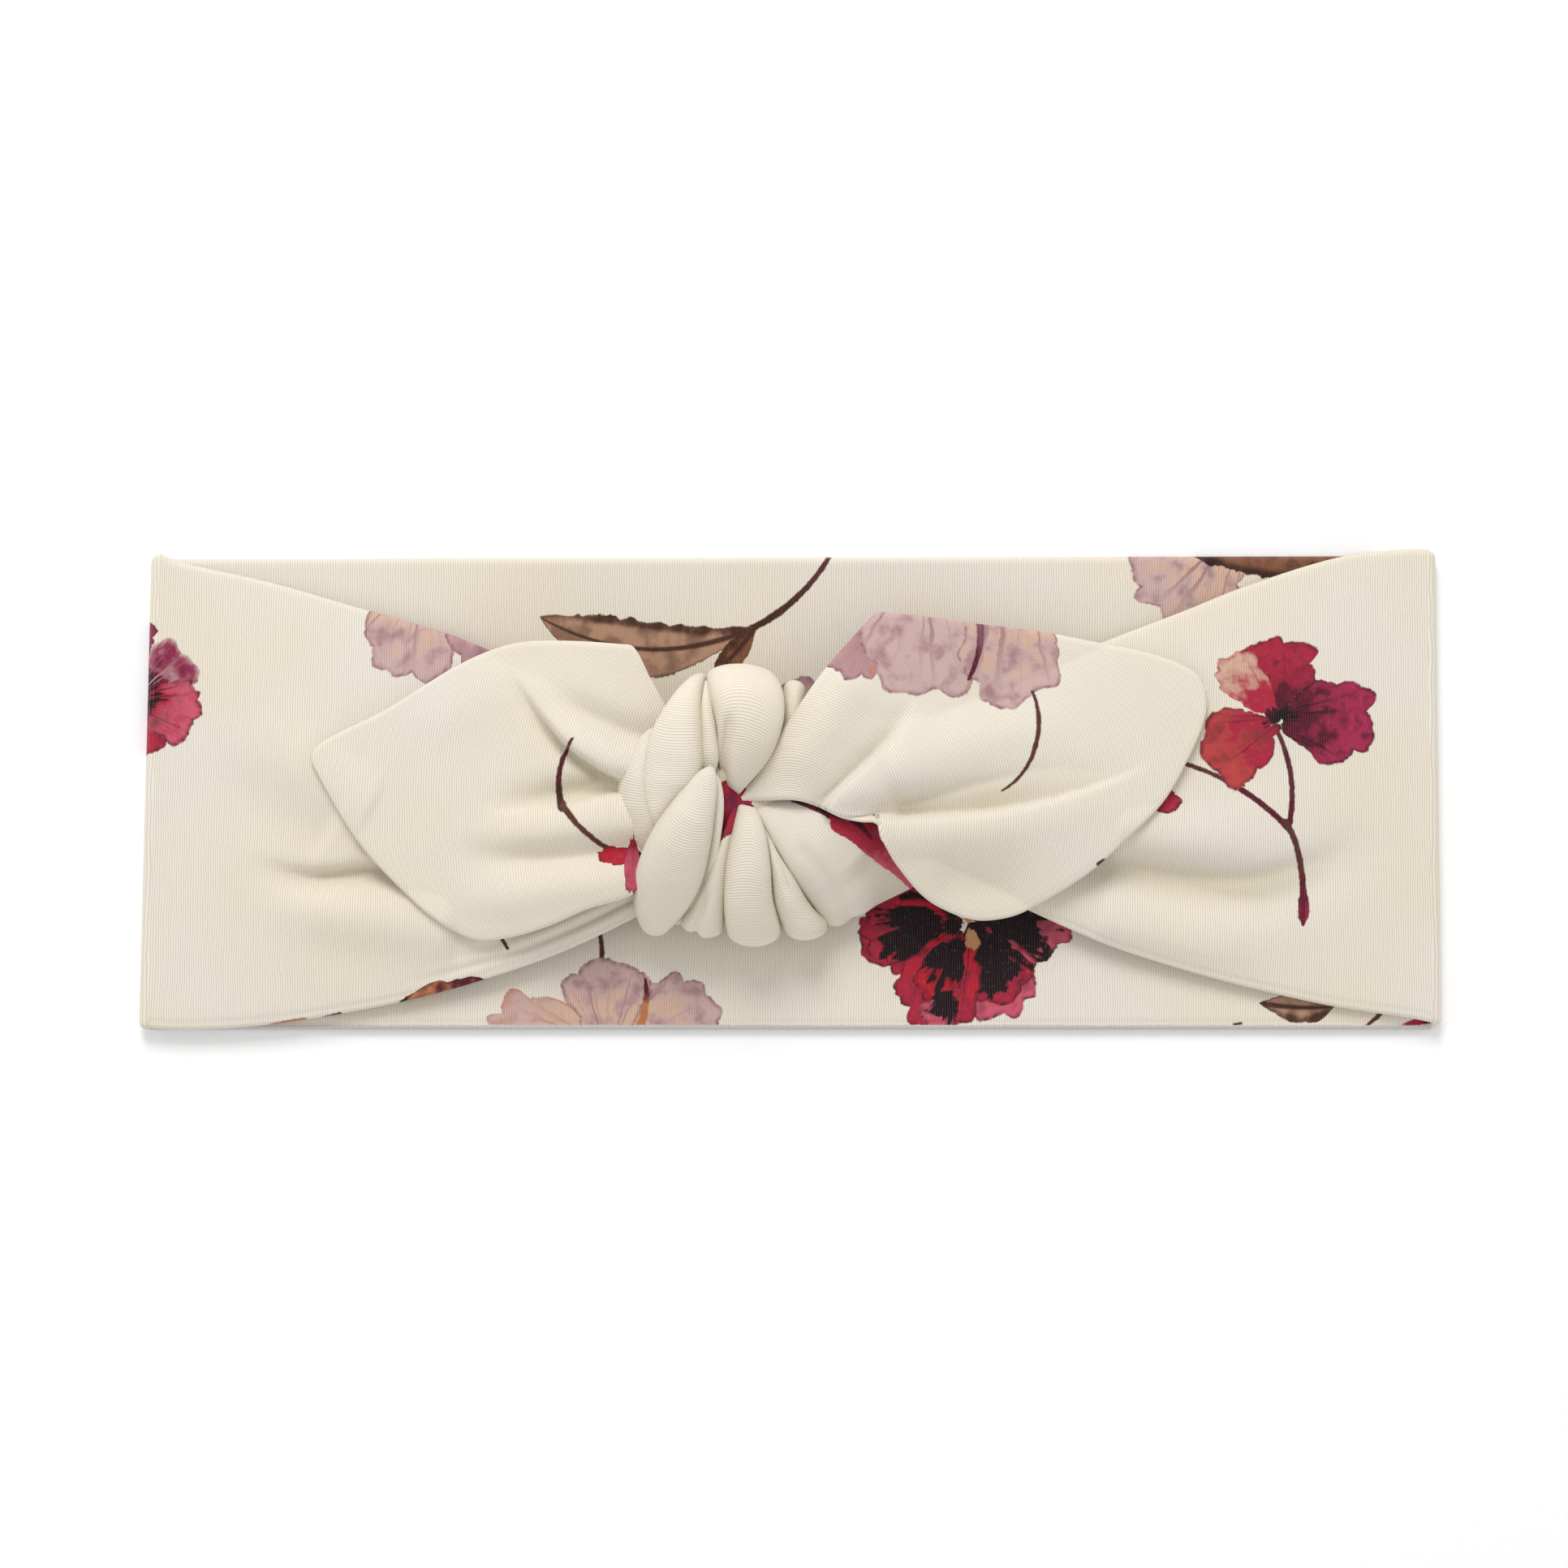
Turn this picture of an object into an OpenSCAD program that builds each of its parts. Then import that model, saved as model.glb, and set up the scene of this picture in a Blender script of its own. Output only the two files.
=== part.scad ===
// Knotted headband: a double strap of knitted cloth, tied once at the front
// and pressed flat, so that its back lies under its two front arms.
// X runs along the flat band, Y across it and Z up from the table.

/* [Band] */
// Length of the flat band from side fold to side fold
flat_l = 201; // [165:1:242]
// Width of the strap across the back
band_w = 73; // [60:1:90]
// Thickness of one layer of cloth
cloth_t = 0.7; // [0.5:0.05:1]
// Air between the back and the front of the flat loop
loop_gap = 0.3; // [0.2:0.05:1]
// Width of the sewn seam along the lower edge
seam_w = 1.2; // [0.8:0.1:2]
// How much higher the right front arm lies than the left one
arm_shift = 1.4; // [0:0.1:3]

/* [Arms] */
// Height of the gathered cloth where an arm enters the knot
neck_h = 8.3; // [5:0.1:10]
// Upper edge of both arms at the knot, above the middle of the object
neck_top = 13.5; // [8:0.5:18]
// Lower edge of the left arm at the knot, below the middle
left_neck_low = 21; // [14:0.5:26]
// Lower edge of the right arm at the knot, below the middle
right_neck_low = 15; // [10:0.5:22]
// How far the upper and lower edges of the left arm bow outward
left_bow = [2.3, 4];
// How far the upper and lower edges of the right arm bow outward
right_bow = [3.4, 2.7];

/* [Knot] */
// Length of the knot along the band
knot_l = 45; // [36:1:56]
// Height of the knot above the underside of the front
knot_h = 20; // [16:0.5:26]
// Middle of the knot along the band
knot_x = -2.3; // [-4:0.1:4]
// Middle of the knot across the band
knot_y = -2.5; // [-4:0.1:4]
// Point at the top of the knot where all its lobes meet
pinch = [-7.3, -1];
// Clearance from the knot's outermost point to the arms
knot_gap = 1.2; // [0.8:0.1:2]
// Width of the squeezed strap inside the knot
core_w = 15; // [10:1:20]
// Clearance between neighbouring lobes, and from them to the core
lobe_gap = 0.3; // [0.2:0.05:0.6]

/* [Tails] */
// Length of the left tail from the knot to its tip
left_tail_l = 50.4; // [38:0.2:62]
// Length of the right tail from the knot to its tip
right_tail_l = 46; // [36:0.2:58]
// Upper and lower ends of the left tail's root
left_root = [21.3, -15.7];
// Upper and lower ends of the right tail's root
right_root = [26.7, -12.5];
// Distance of the left tip from the middle line
left_tip = 5; // [0:0.5:10]
// Distance of the right tip from the middle line
right_tip = 14.5; // [8:0.5:20]
// Air between a tail and the arm that it lies on
tail_clear = 0.3; // [0.2:0.05:1]
// Clearance from the knot to the root of a tail
tail_gap = 0.6; // [0.3:0.1:1.5]

/* [Hidden] */

$fn = 96;

// Heights of the flat stack: back, loop gap, front
back_top = 2 * cloth_t;
front_low = back_top + loop_gap;
fold_z = back_top + loop_gap / 2;

// The side folds are half tubes about lines at fold_x and fold_z
fold_r = fold_z;
fold_x = flat_l / 2 - fold_r;

// The arms and the back hinge at hinge_x, just outside the knot
hinge_x = abs(knot_x) + knot_l / 2 + knot_gap;
hinge_gap = 0.3;

// Edges of the band at the folds
band_low = -(band_w + arm_shift) / 2;
band_high = band_low + band_w;

// The squeezed strap is as high as the arms that run into it
core_h = neck_h;

// Steps along each curved edge
edge_steps = 16;

// The gathered arms rise evenly from the fold to the knot
arm_l = fold_x - hinge_x;
arm_slope = (neck_h - 2 * cloth_t) / arm_l;
function arm_top(x) = front_low + neck_h + (hinge_x - x) * arm_slope;

// The knot is a cap of a sphere that stands on the back
knot_r = (knot_h * knot_h + knot_l * knot_l / 4) / (2 * knot_h);
knot_z = front_low + knot_h - knot_r;

// How far the knot reaches from its own middle at the height of the tails
tail_low = front_low + neck_h + tail_clear;
knot_reach = sqrt(knot_r * knot_r - (tail_low - knot_z) * (tail_low - knot_z));
left_root_x = knot_reach - knot_x + tail_gap;
right_root_x = knot_reach + knot_x + tail_gap;

// Control points of the tails' edges: share of the length, and height
left_curve = [[0.505, 26], [0.64, -36]];
right_curve = [[0.7, 24], [0.61, -30]];

// Directions of the creases between the knot's lobes, from the pinch point
top_lobe_dirs = [56, 107];
left_wrap_dirs = [107, 223];
diagonal_dirs = [223, 242];
fan_dirs = [242, 262, 286, 303];
right_lobe_dirs = [303, 345];
tail_root_dirs = [345, 416];

cream = [0.93, 0.90, 0.81];
ivory = [0.96, 0.94, 0.88];
sand = [0.86, 0.81, 0.68];
thread = [0.80, 0.77, 0.70];

// Outermost X and a length that passes right through the object
far = flat_l + band_w;

// A plane shape in X and Y, raised from z to z + h
module slab(z, h) {
    translate([0, 0, z])
        linear_extrude(height = h)
            children();
}

// A plane shape in X and Z, run all the way across the object
module across() {
    rotate([90, 0, 0])
        linear_extrude(height = far, center = true)
            children();
}

// One flat layer of the back from x0 to x1, above the seam
module back_layer(x0, x1, layer) {
    slab(layer * cloth_t, cloth_t)
        translate([x0, band_low + seam_w])
            square([x1 - x0, band_w - seam_w]);
}

// The seam that closes the lower edge of the back from x0 to x1
module back_seam(x0, x1) {
    slab(0, back_top)
        translate([x0, band_low])
            square([x1 - x0, seam_w]);
}

// One layer of a side fold: a half tube, seen from the end
module fold_layer(side, r0, r1) {
    translate([side * fold_x, band_high, fold_z])
        rotate([90, 0, 0])
            linear_extrude(height = band_w)
                intersection() {
                    difference() {
                        circle(r = r1);
                        circle(r = r0);
                    }
                    translate([side > 0 ? 0 : -2 * fold_r, -2 * fold_r])
                        square([2 * fold_r, 4 * fold_r]);
                }
}

// Height of an arm's edge, a share u of the way from the fold to the knot
function edge_y(y0, y1, bow, u) = y0 + (y1 - y0) * u + 4 * bow * u * (1 - u);

// Points of an arm's edge, from the fold to the knot
function edge(side, y0, y1, bow) = [
    for (i = [0:edge_steps])
        let (u = i / edge_steps)
            [side * (fold_x - hinge_gap / 2 - u * (arm_l - hinge_gap / 2)),
             edge_y(y0, y1, bow, u)]
];

function reversed(list) = [for (i = [len(list) - 1:-1:0]) list[i]];
function raised(list, dy) = [for (p = list) [p[0], p[1] + dy]];

left_high_edge = edge(-1, band_high, neck_top, left_bow[0]);
left_low_edge = edge(-1, band_low, -left_neck_low, -left_bow[1]);
right_high_edge = edge(1, band_high + arm_shift, neck_top, right_bow[0]);
right_low_edge = edge(1, band_low + arm_shift / 2, -right_neck_low, -right_bow[1]);

// Plan of an arm above its seam
module arm_plan(high, low) {
    polygon(concat(high, reversed(raised(low, seam_w))));
}

// Plan of the seam along an arm's lower edge
module arm_seam_plan(low) {
    polygon(concat(low, reversed(raised(low, seam_w))));
}

// Everything under the sloping top of an arm, and over its lining
module arm_wedge(side) {
    across()
        polygon([
            [side * fold_x, front_low + cloth_t],
            [side * hinge_x, front_low + cloth_t],
            [side * hinge_x, arm_top(hinge_x)],
            [side * fold_x, arm_top(fold_x)]
        ]);
}

// Face of an arm: the outer cloth with the pleats gathered under it
module arm_face(side, high, low) {
    intersection() {
        slab(0, far) arm_plan(high, low);
        arm_wedge(side);
    }
}

module arm_lining(high, low) {
    slab(front_low, cloth_t) arm_plan(high, low);
}

module arm_seam(low) {
    slab(front_low, 2 * cloth_t) arm_seam_plan(low);
}

// The squeezed strap seen along the band: flat below, round above
module core_plan(grow) {
    w = core_w + 2 * grow;
    h = core_h + grow;
    translate([-w / 2, -far])
        square([w, far + h - w / 2]);
    translate([0, h - w / 2])
        circle(d = w);
}

// A strap along X with the core's section, standing on z0
module core_bar(z0, grow, half_l) {
    intersection() {
        translate([0, knot_y, z0])
            rotate([90, 0, 90])
                linear_extrude(height = 2 * half_l, center = true)
                    core_plan(grow);
        translate([-far / 2, -far / 2, z0])
            cube(far);
    }
}

// The whole outside of the knot, without its core
module knot_cap() {
    difference() {
        translate([knot_x, knot_y, knot_z])
            sphere(r = knot_r);
        translate([-far / 2, -far / 2, front_low - far])
            cube(far);
        core_bar(front_low - knot_h, lobe_gap, far);
        translate([0, knot_y, front_low])
            rotate([90, 0, 90])
                linear_extrude(height = far, center = true)
                    core_plan(lobe_gap);
    }
}

// Plan of a wedge between two directions, drawn back by half the lobe gap
module wedge_plan(from, to) {
    half = (to - from) / 2;
    middle = (from + to) / 2;
    back = lobe_gap / 2 / sin(min(half, 90));
    apex = pinch + back * [cos(middle), sin(middle)];
    polygon(concat([apex], [
        for (a = [from:(to - from) / 4:to + 0.01])
            apex + far * [cos(a), sin(a)]
    ]));
}

// One lobe of the knot, between two crease directions
module lobe(from, to) {
    intersection() {
        knot_cap();
        slab(0, far) wedge_plan(from, to);
    }
}

// Points of a curve with one control point
function curve(a, c, b) = [
    for (i = [0:edge_steps])
        let (u = i / edge_steps)
            (1 - u) * (1 - u) * a + 2 * u * (1 - u) * c + u * u * b
];

// Edge of a tail from its root to its tip
function tail_edge(side, root_x, length, y, c, tip) = curve(
    [side * root_x, y],
    [side * (root_x + c[0] * length), c[1]],
    [side * (root_x + length), tip]
);

left_tail_high = tail_edge(-1, left_root_x, left_tail_l, left_root[0], left_curve[0], left_tip);
left_tail_low = tail_edge(-1, left_root_x, left_tail_l, left_root[1], left_curve[1], left_tip);
right_tail_high = tail_edge(1, right_root_x, right_tail_l, right_root[0], right_curve[0], right_tip);
right_tail_low = tail_edge(1, right_root_x, right_tail_l, right_root[1], right_curve[1], right_tip);

// The lower edge of a tail pulled in by the seam, without moving the tip
function seam_line(low) = [
    for (i = [0:edge_steps])
        low[i] + [0, seam_w * min(1, 4 * (1 - i / edge_steps))]
];

module tail_plan(high, low) {
    polygon(concat(high, reversed(seam_line(low))));
}

module tail_seam_plan(low) {
    polygon(concat(low, reversed(seam_line(low))));
}

// A layer that lies on the slope of an arm, from z above it to z + h
module sloping_layer(side, z, h) {
    near = -far / 8;
    across()
        polygon([
            [side * near, arm_top(near) + z],
            [side * far, arm_top(far) + z],
            [side * far, arm_top(far) + z + h],
            [side * near, arm_top(near) + z + h]
        ]);
}

// Part of a tail: its plan, between two heights above the arm
module tail_layer(side, z, h) {
    intersection() {
        slab(0, far) children();
        sloping_layer(side, tail_clear + z, h);
    }
}

back_left_x = [-fold_x, -hinge_x - hinge_gap / 2];
back_middle_x = [-hinge_x + hinge_gap / 2, hinge_x - hinge_gap / 2];
back_right_x = [hinge_x + hinge_gap / 2, fold_x];

module back_middle_outer() {
    color(sand) back_layer(back_middle_x[0], back_middle_x[1], 0);
}

module back_middle_lining() {
    color(cream) back_layer(back_middle_x[0], back_middle_x[1], 1);
}

module back_middle_seam() {
    color(thread) back_seam(back_middle_x[0], back_middle_x[1]);
}

module back_left_outer() {
    color(sand) back_layer(back_left_x[0], back_left_x[1], 0);
}

module back_left_lining() {
    color(cream) back_layer(back_left_x[0], back_left_x[1], 1);
}

module back_left_seam() {
    color(thread) back_seam(back_left_x[0], back_left_x[1]);
}

module back_right_outer() {
    color(sand) back_layer(back_right_x[0], back_right_x[1], 0);
}

module back_right_lining() {
    color(cream) back_layer(back_right_x[0], back_right_x[1], 1);
}

module back_right_seam() {
    color(thread) back_seam(back_right_x[0], back_right_x[1]);
}

module left_fold_outer() {
    color(ivory) fold_layer(-1, fold_r - cloth_t, fold_r);
}

module left_fold_lining() {
    color(cream) fold_layer(-1, loop_gap / 2, fold_r - cloth_t);
}

module right_fold_outer() {
    color(ivory) fold_layer(1, fold_r - cloth_t, fold_r);
}

module right_fold_lining() {
    color(cream) fold_layer(1, loop_gap / 2, fold_r - cloth_t);
}

module front_left_outer() {
    color(ivory) arm_face(-1, left_high_edge, left_low_edge);
}

module front_left_lining() {
    color(cream) arm_lining(left_high_edge, left_low_edge);
}

module front_left_seam() {
    color(thread) arm_seam(left_low_edge);
}

module front_right_outer() {
    color(ivory) arm_face(1, right_high_edge, right_low_edge);
}

module front_right_lining() {
    color(cream) arm_lining(right_high_edge, right_low_edge);
}

module front_right_seam() {
    color(thread) arm_seam(right_low_edge);
}

module knot_core() {
    color(sand) core_bar(front_low, 0, hinge_x - hinge_gap);
}

module knot_top_lobe() {
    color(ivory) lobe(top_lobe_dirs[0], top_lobe_dirs[1]);
}

module knot_left_wrap() {
    color(cream) lobe(left_wrap_dirs[0], left_wrap_dirs[1]);
}

module knot_diagonal_wrap() {
    color(ivory) lobe(diagonal_dirs[0], diagonal_dirs[1]);
}

module knot_fan_pleats() {
    color(cream)
        for (i = [0:len(fan_dirs) - 2])
            lobe(fan_dirs[i], fan_dirs[i + 1]);
}

module knot_right_lobe() {
    color(ivory) lobe(right_lobe_dirs[0], right_lobe_dirs[1]);
}

module knot_tail_root() {
    color(cream) lobe(tail_root_dirs[0], tail_root_dirs[1]);
}

module left_tail_face() {
    color(ivory) tail_layer(-1, cloth_t, cloth_t) tail_plan(left_tail_high, left_tail_low);
}

module left_tail_lining() {
    color(cream) tail_layer(-1, 0, cloth_t) tail_plan(left_tail_high, left_tail_low);
}

module left_tail_seam() {
    color(thread) tail_layer(-1, 0, 2 * cloth_t) tail_seam_plan(left_tail_low);
}

module right_tail_face() {
    color(ivory) tail_layer(1, cloth_t, cloth_t) tail_plan(right_tail_high, right_tail_low);
}

module right_tail_lining() {
    color(cream) tail_layer(1, 0, cloth_t) tail_plan(right_tail_high, right_tail_low);
}

module right_tail_seam() {
    color(thread) tail_layer(1, 0, 2 * cloth_t) tail_seam_plan(right_tail_low);
}

back_middle_outer();
back_middle_lining();
back_middle_seam();
back_left_outer();
back_left_lining();
back_left_seam();
back_right_outer();
back_right_lining();
back_right_seam();
left_fold_outer();
left_fold_lining();
right_fold_outer();
right_fold_lining();
front_left_outer();
front_left_lining();
front_left_seam();
front_right_outer();
front_right_lining();
front_right_seam();
knot_core();
knot_top_lobe();
knot_left_wrap();
knot_diagonal_wrap();
knot_fan_pleats();
knot_right_lobe();
knot_tail_root();
left_tail_face();
left_tail_lining();
left_tail_seam();
right_tail_face();
right_tail_lining();
right_tail_seam();
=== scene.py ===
"""A knotted headband of printed jersey, lying flat.

Lengths are in millimetres until a mesh is made. Each stretch of the strap is a closed skin:
an upper and an under surface on one grid, where rows run along the strap and columns across it.
"""
import math

import bmesh
import bpy
import numpy as np
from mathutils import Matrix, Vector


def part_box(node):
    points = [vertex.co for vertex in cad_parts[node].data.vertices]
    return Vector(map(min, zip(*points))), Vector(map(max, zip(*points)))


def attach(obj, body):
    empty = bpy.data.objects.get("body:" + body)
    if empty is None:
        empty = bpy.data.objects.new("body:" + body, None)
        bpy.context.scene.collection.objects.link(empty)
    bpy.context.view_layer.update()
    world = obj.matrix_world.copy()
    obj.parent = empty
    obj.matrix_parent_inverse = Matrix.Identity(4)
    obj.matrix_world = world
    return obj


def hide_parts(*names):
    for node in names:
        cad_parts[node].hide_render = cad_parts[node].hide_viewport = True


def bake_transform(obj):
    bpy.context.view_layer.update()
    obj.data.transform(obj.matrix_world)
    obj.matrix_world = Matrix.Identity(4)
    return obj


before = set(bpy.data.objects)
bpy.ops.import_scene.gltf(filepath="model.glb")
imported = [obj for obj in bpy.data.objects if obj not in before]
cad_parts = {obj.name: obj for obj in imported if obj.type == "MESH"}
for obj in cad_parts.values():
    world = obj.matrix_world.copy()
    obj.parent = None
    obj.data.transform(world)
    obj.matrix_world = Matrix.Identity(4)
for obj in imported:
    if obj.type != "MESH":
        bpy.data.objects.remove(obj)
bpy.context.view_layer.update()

MM = 0.001
UP = np.array([0.0, 0.0, 1.0])


def corners(node):
    """Lowest and highest corner of a CAD node, in millimetres."""
    low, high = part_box(node)
    return np.array(low) / MM, np.array(high) / MM


# ---- sizes, from the frame ----
FOLD_X = -corners("back_left_outer")[0][0]
HINGE_X = corners("knot_core")[1][0] + 0.3
BAND_LOW = corners("back_left_seam")[0][1]
BAND_HIGH = corners("back_left_outer")[1][1]
STRAP_HALF = corners("back_left_outer")[1][2]
BACK_TOP = 2 * STRAP_HALF
FRONT_LOW = corners("front_left_lining")[0][2]
FOLD_Z = (BACK_TOP + FRONT_LOW) / 2
LEFT_HINGE_X = -corners("left_tail_face")[1][0]
RIGHT_HINGE_X = corners("right_tail_face")[0][0]

# ---- sizes chosen ----
STRAP_EDGE, BACK_EDGE, FOLD_EDGE = 1.2, 1.0, 1.1  # radius of the rounded edge along each stretch
BACK_SLANT = 0.25  # how far the back's upper edge leaves level at a fold
FOLD_AT = {-1: (98.8, 1.9), 1: (99.1, 0.9)}  # each fold's inner line: how far out, and less at the top
TAIL_TIP = 1.2 / 50  # share of a tail's length in which its point rounds off
TAIL_GAP = 0.12  # least clear height of a tail over its arm
TAIL_LIE = 0.5  # its height over the arm where both are smooth
LEFT_ROOT_Z = 12.0  # height of the left tail beside the knot
PINCH = (-7.3, -1.0)  # where the right tail leaves the top of the knot
KNOT_HEART = np.array([-5.0, -3.0, 2.0])  # the wraps of the knot swell away from here
CORE_MIDDLE, CORE_HALF = (-2.5, -2.0, 8.2), (23.5, 12, 6.7)  # the strap inside the knot
WALE, COURSE = 0.76, 0.55  # a rib of the knit, and a row of its stitches

# ---- curves and fields ----


def smooth_line(points, count):
    """A curve through a few points, as count places an equal length apart."""
    p = np.array(points, float)
    p = np.vstack([2 * p[0] - p[1], p, 2 * p[-1] - p[-2]])
    knots = np.concatenate([[0], np.cumsum(np.linalg.norm(np.diff(p, axis=0), axis=1) ** 0.5)])
    found = []
    for i in range(1, len(p) - 2):
        k = knots[i - 1:i + 3]
        t = np.linspace(k[1], k[2], 24, endpoint=i == len(p) - 3)[:, None]

        def mix(a, b, start, stop):
            return (stop - t) / (stop - start) * a + (t - start) / (stop - start) * b

        a = [mix(p[i + j - 1], p[i + j], k[j], k[j + 1]) for j in range(3)]
        b = [mix(a[j], a[j + 1], k[j], k[j + 2]) for j in range(2)]
        found.append(mix(b[0], b[1], k[1], k[2]))
    fine = np.vstack(found)
    run = np.concatenate([[0], np.cumsum(np.linalg.norm(np.diff(fine, axis=0), axis=1))])
    at = np.linspace(0, run[-1], count)
    return np.stack([np.interp(at, run, fine[:, k]) for k in range(p.shape[1])], axis=1)


def ease(x):
    """0 below 0, 1 above 1 and smooth between."""
    x = np.clip(x, 0, 1)
    return x * x * (3 - 2 * x)


def between(low, high, share):
    """The place at a share of the way from low to high."""
    return low * (1 - share) + high * share


def line_field(x, y, points):
    """Distance from a line, positive on its left, and the share of the way along it."""
    line = smooth_line(points, 48)[:, :2]
    start, step = line[:-1], np.diff(line, axis=0)
    flat = np.stack([x.ravel(), y.ravel()], axis=1)
    rel = flat[:, None, :] - start[None]
    share = np.clip((rel * step).sum(2) / (step * step).sum(1), 0, 1)
    gap = rel - share[..., None] * step
    dist = np.sqrt((gap * gap).sum(2))
    best = dist.argmin(1)
    rows = np.arange(len(flat))
    side = np.sign(step[best, 0] * rel[rows, best, 1] - step[best, 1] * rel[rows, best, 0])
    along = (best + share[rows, best]) / len(step)
    return (dist[rows, best] * side).reshape(x.shape), along.reshape(x.shape)


def fade(along, start, end):
    """1 in the middle of a line, and 0 at an end that fades over that share of it."""
    a = ease(along / start) if start else 1.0
    b = ease((1 - along) / end) if end else 1.0
    return a * b


# Each kind of fold below gives a function of x and y: how much it adds to the cloth's height there.


def groove(points, depth, width, start=0.0, end=0.4, far=None):
    """A soft valley along a line. far is its width on the line's right, if it differs."""
    def height_at(x, y):
        dist, along = line_field(x, y, points)
        reach = np.where(dist < 0, far or width, width)
        return -depth * np.exp(-((dist / reach) ** 2)) * fade(along, start, end)
    return height_at


def ridge(points, height, width, start=0.0, end=0.4):
    """A soft swell along a line."""
    return groove(points, -height, width, start, end)


def flap(points, height, edge, reach, start=0.0, end=0.3):
    """Cloth on the left of a line that lies over the cloth on its right."""
    def height_at(x, y):
        dist, along = line_field(x, y, points)
        over = ease(dist / edge + 0.5) * np.exp(-np.maximum(dist, 0) / reach)
        under = -0.45 * np.exp(-((dist + edge) / (2.2 * edge)) ** 2)
        return height * (over + under) * fade(along, start, end)
    return height_at


# ---- meshes ----


def calmed(grid, times):
    """The grid with its small bumps smoothed out, and its border kept."""
    grid = grid.copy()
    for _ in range(times):
        for axis in (0, 1):
            g = np.moveaxis(grid, axis, 0)
            g[1:-1] = 0.25 * g[:-2] + 0.5 * g[1:-1] + 0.25 * g[2:]
    return grid


def facing(grid, outward):
    """Unit normals of a grid of points, turned to the side of outward."""
    n = np.cross(np.gradient(grid, axis=0), np.gradient(grid, axis=1))
    n /= np.maximum(np.linalg.norm(n, axis=2, keepdims=True), 1e-9)
    return n if (n * outward).sum() > 0 else -n


def add_object(name, data):
    """A new object in the scene."""
    thing = bpy.data.objects.new(name, data)
    bpy.context.scene.collection.objects.link(thing)
    return thing


def skin(name, upper, under, fabric, crease=None, capped=(False, False)):
    """A closed mesh between two grids that meet at both long edges, and at an end that isn't capped."""
    rows, cols = upper.shape[:2]
    top = np.arange(rows * cols).reshape(rows, cols)
    low = top + rows * cols
    low[:, 0], low[:, -1] = top[:, 0], top[:, -1]
    if not capped[0]:
        low[0] = top[0]
    if not capped[1]:
        low[-1] = top[-1]

    def quads(ids, flip):
        a, b, c, d = ids[:-1, :-1], ids[1:, :-1], ids[1:, 1:], ids[:-1, 1:]
        order = (a, d, c, b) if flip else (a, b, c, d)
        return np.stack([k.ravel() for k in order], axis=1)

    faces = [quads(top, False), quads(low, True)]
    for row, open_end in ((0, capped[0]), (-1, capped[1])):
        if open_end:
            faces.append(quads(np.stack([top[row], low[row]]), row == 0))
    faces = np.vstack(faces)
    points = np.vstack([upper.reshape(-1, 3), under.reshape(-1, 3)])
    places = np.vstack([fabric.reshape(-1, 2)] * 2)
    depth = np.zeros(len(points)) if crease is None else np.tile(crease.ravel(), 2)
    used, back = np.unique(faces, return_inverse=True)
    faces = back.reshape(faces.shape)
    mesh = bpy.data.meshes.new(name)
    polygons = [tuple(dict.fromkeys(f)) for f in faces.tolist()]
    mesh.from_pydata((points[used] * MM).tolist(), [], [p for p in polygons if len(p) > 2])
    corner = np.zeros(len(mesh.loops), int)
    mesh.loops.foreach_get("vertex_index", corner)
    for label, value in (("fabric", places[used]), ("plan", points[used][:, :2])):
        layer = mesh.uv_layers.new(name=label)
        layer.data.foreach_set("uv", value[corner].astype(np.float32).ravel())
    # The crease attribute carries painted shade: the material mixes FOLD_SHADE into the cloth's colour
    # where it is high.
    shade = mesh.attributes.new("crease", "FLOAT", "POINT")
    shade.data.foreach_set("value", depth[used].astype(np.float32))
    mesh.shade_smooth()
    shape = bmesh.new()
    shape.from_mesh(mesh)
    bmesh.ops.recalc_face_normals(shape, faces=shape.faces)
    last = max(len(shape.faces) - sum(capped) * (cols - 1), 0)
    for face in list(shape.faces)[last:]:
        for edge in face.edges:
            if any(other.index < last for other in edge.link_faces):
                edge.smooth = False
    shape.to_mesh(mesh)
    shape.free()
    return add_object(name, mesh)


def across(count):
    """Shares of the width, closer together at the edges."""
    t = np.linspace(0, 1, count)
    return 0.45 * t + 0.55 * (0.5 - 0.5 * np.cos(math.pi * t))


def round_off(reach):
    """A quarter circle: 0 at an edge, and 1 from one radius inward."""
    return np.sqrt(1 - (1 - np.clip(reach, 0, 1)) ** 2)


def rounded(share, width, radius):
    """Thickness factor across a strip that is rounded off at both edges."""
    return round_off(np.minimum(share, 1 - share) * width / radius)


def run_of(grid):
    """Length along each column of a grid, averaged, for fabric coordinates."""
    step = np.linalg.norm(np.diff(grid, axis=0), axis=2).mean(1)
    return np.concatenate([[0], np.cumsum(step)])


def width_of(grid):
    """Length across each row of a grid."""
    step = np.linalg.norm(np.diff(grid, axis=1), axis=2)
    return np.concatenate([np.zeros((len(grid), 1)), np.cumsum(step, axis=1)], axis=1)


# ---- the arms' plan and height, which the tails also lie on ----


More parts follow.
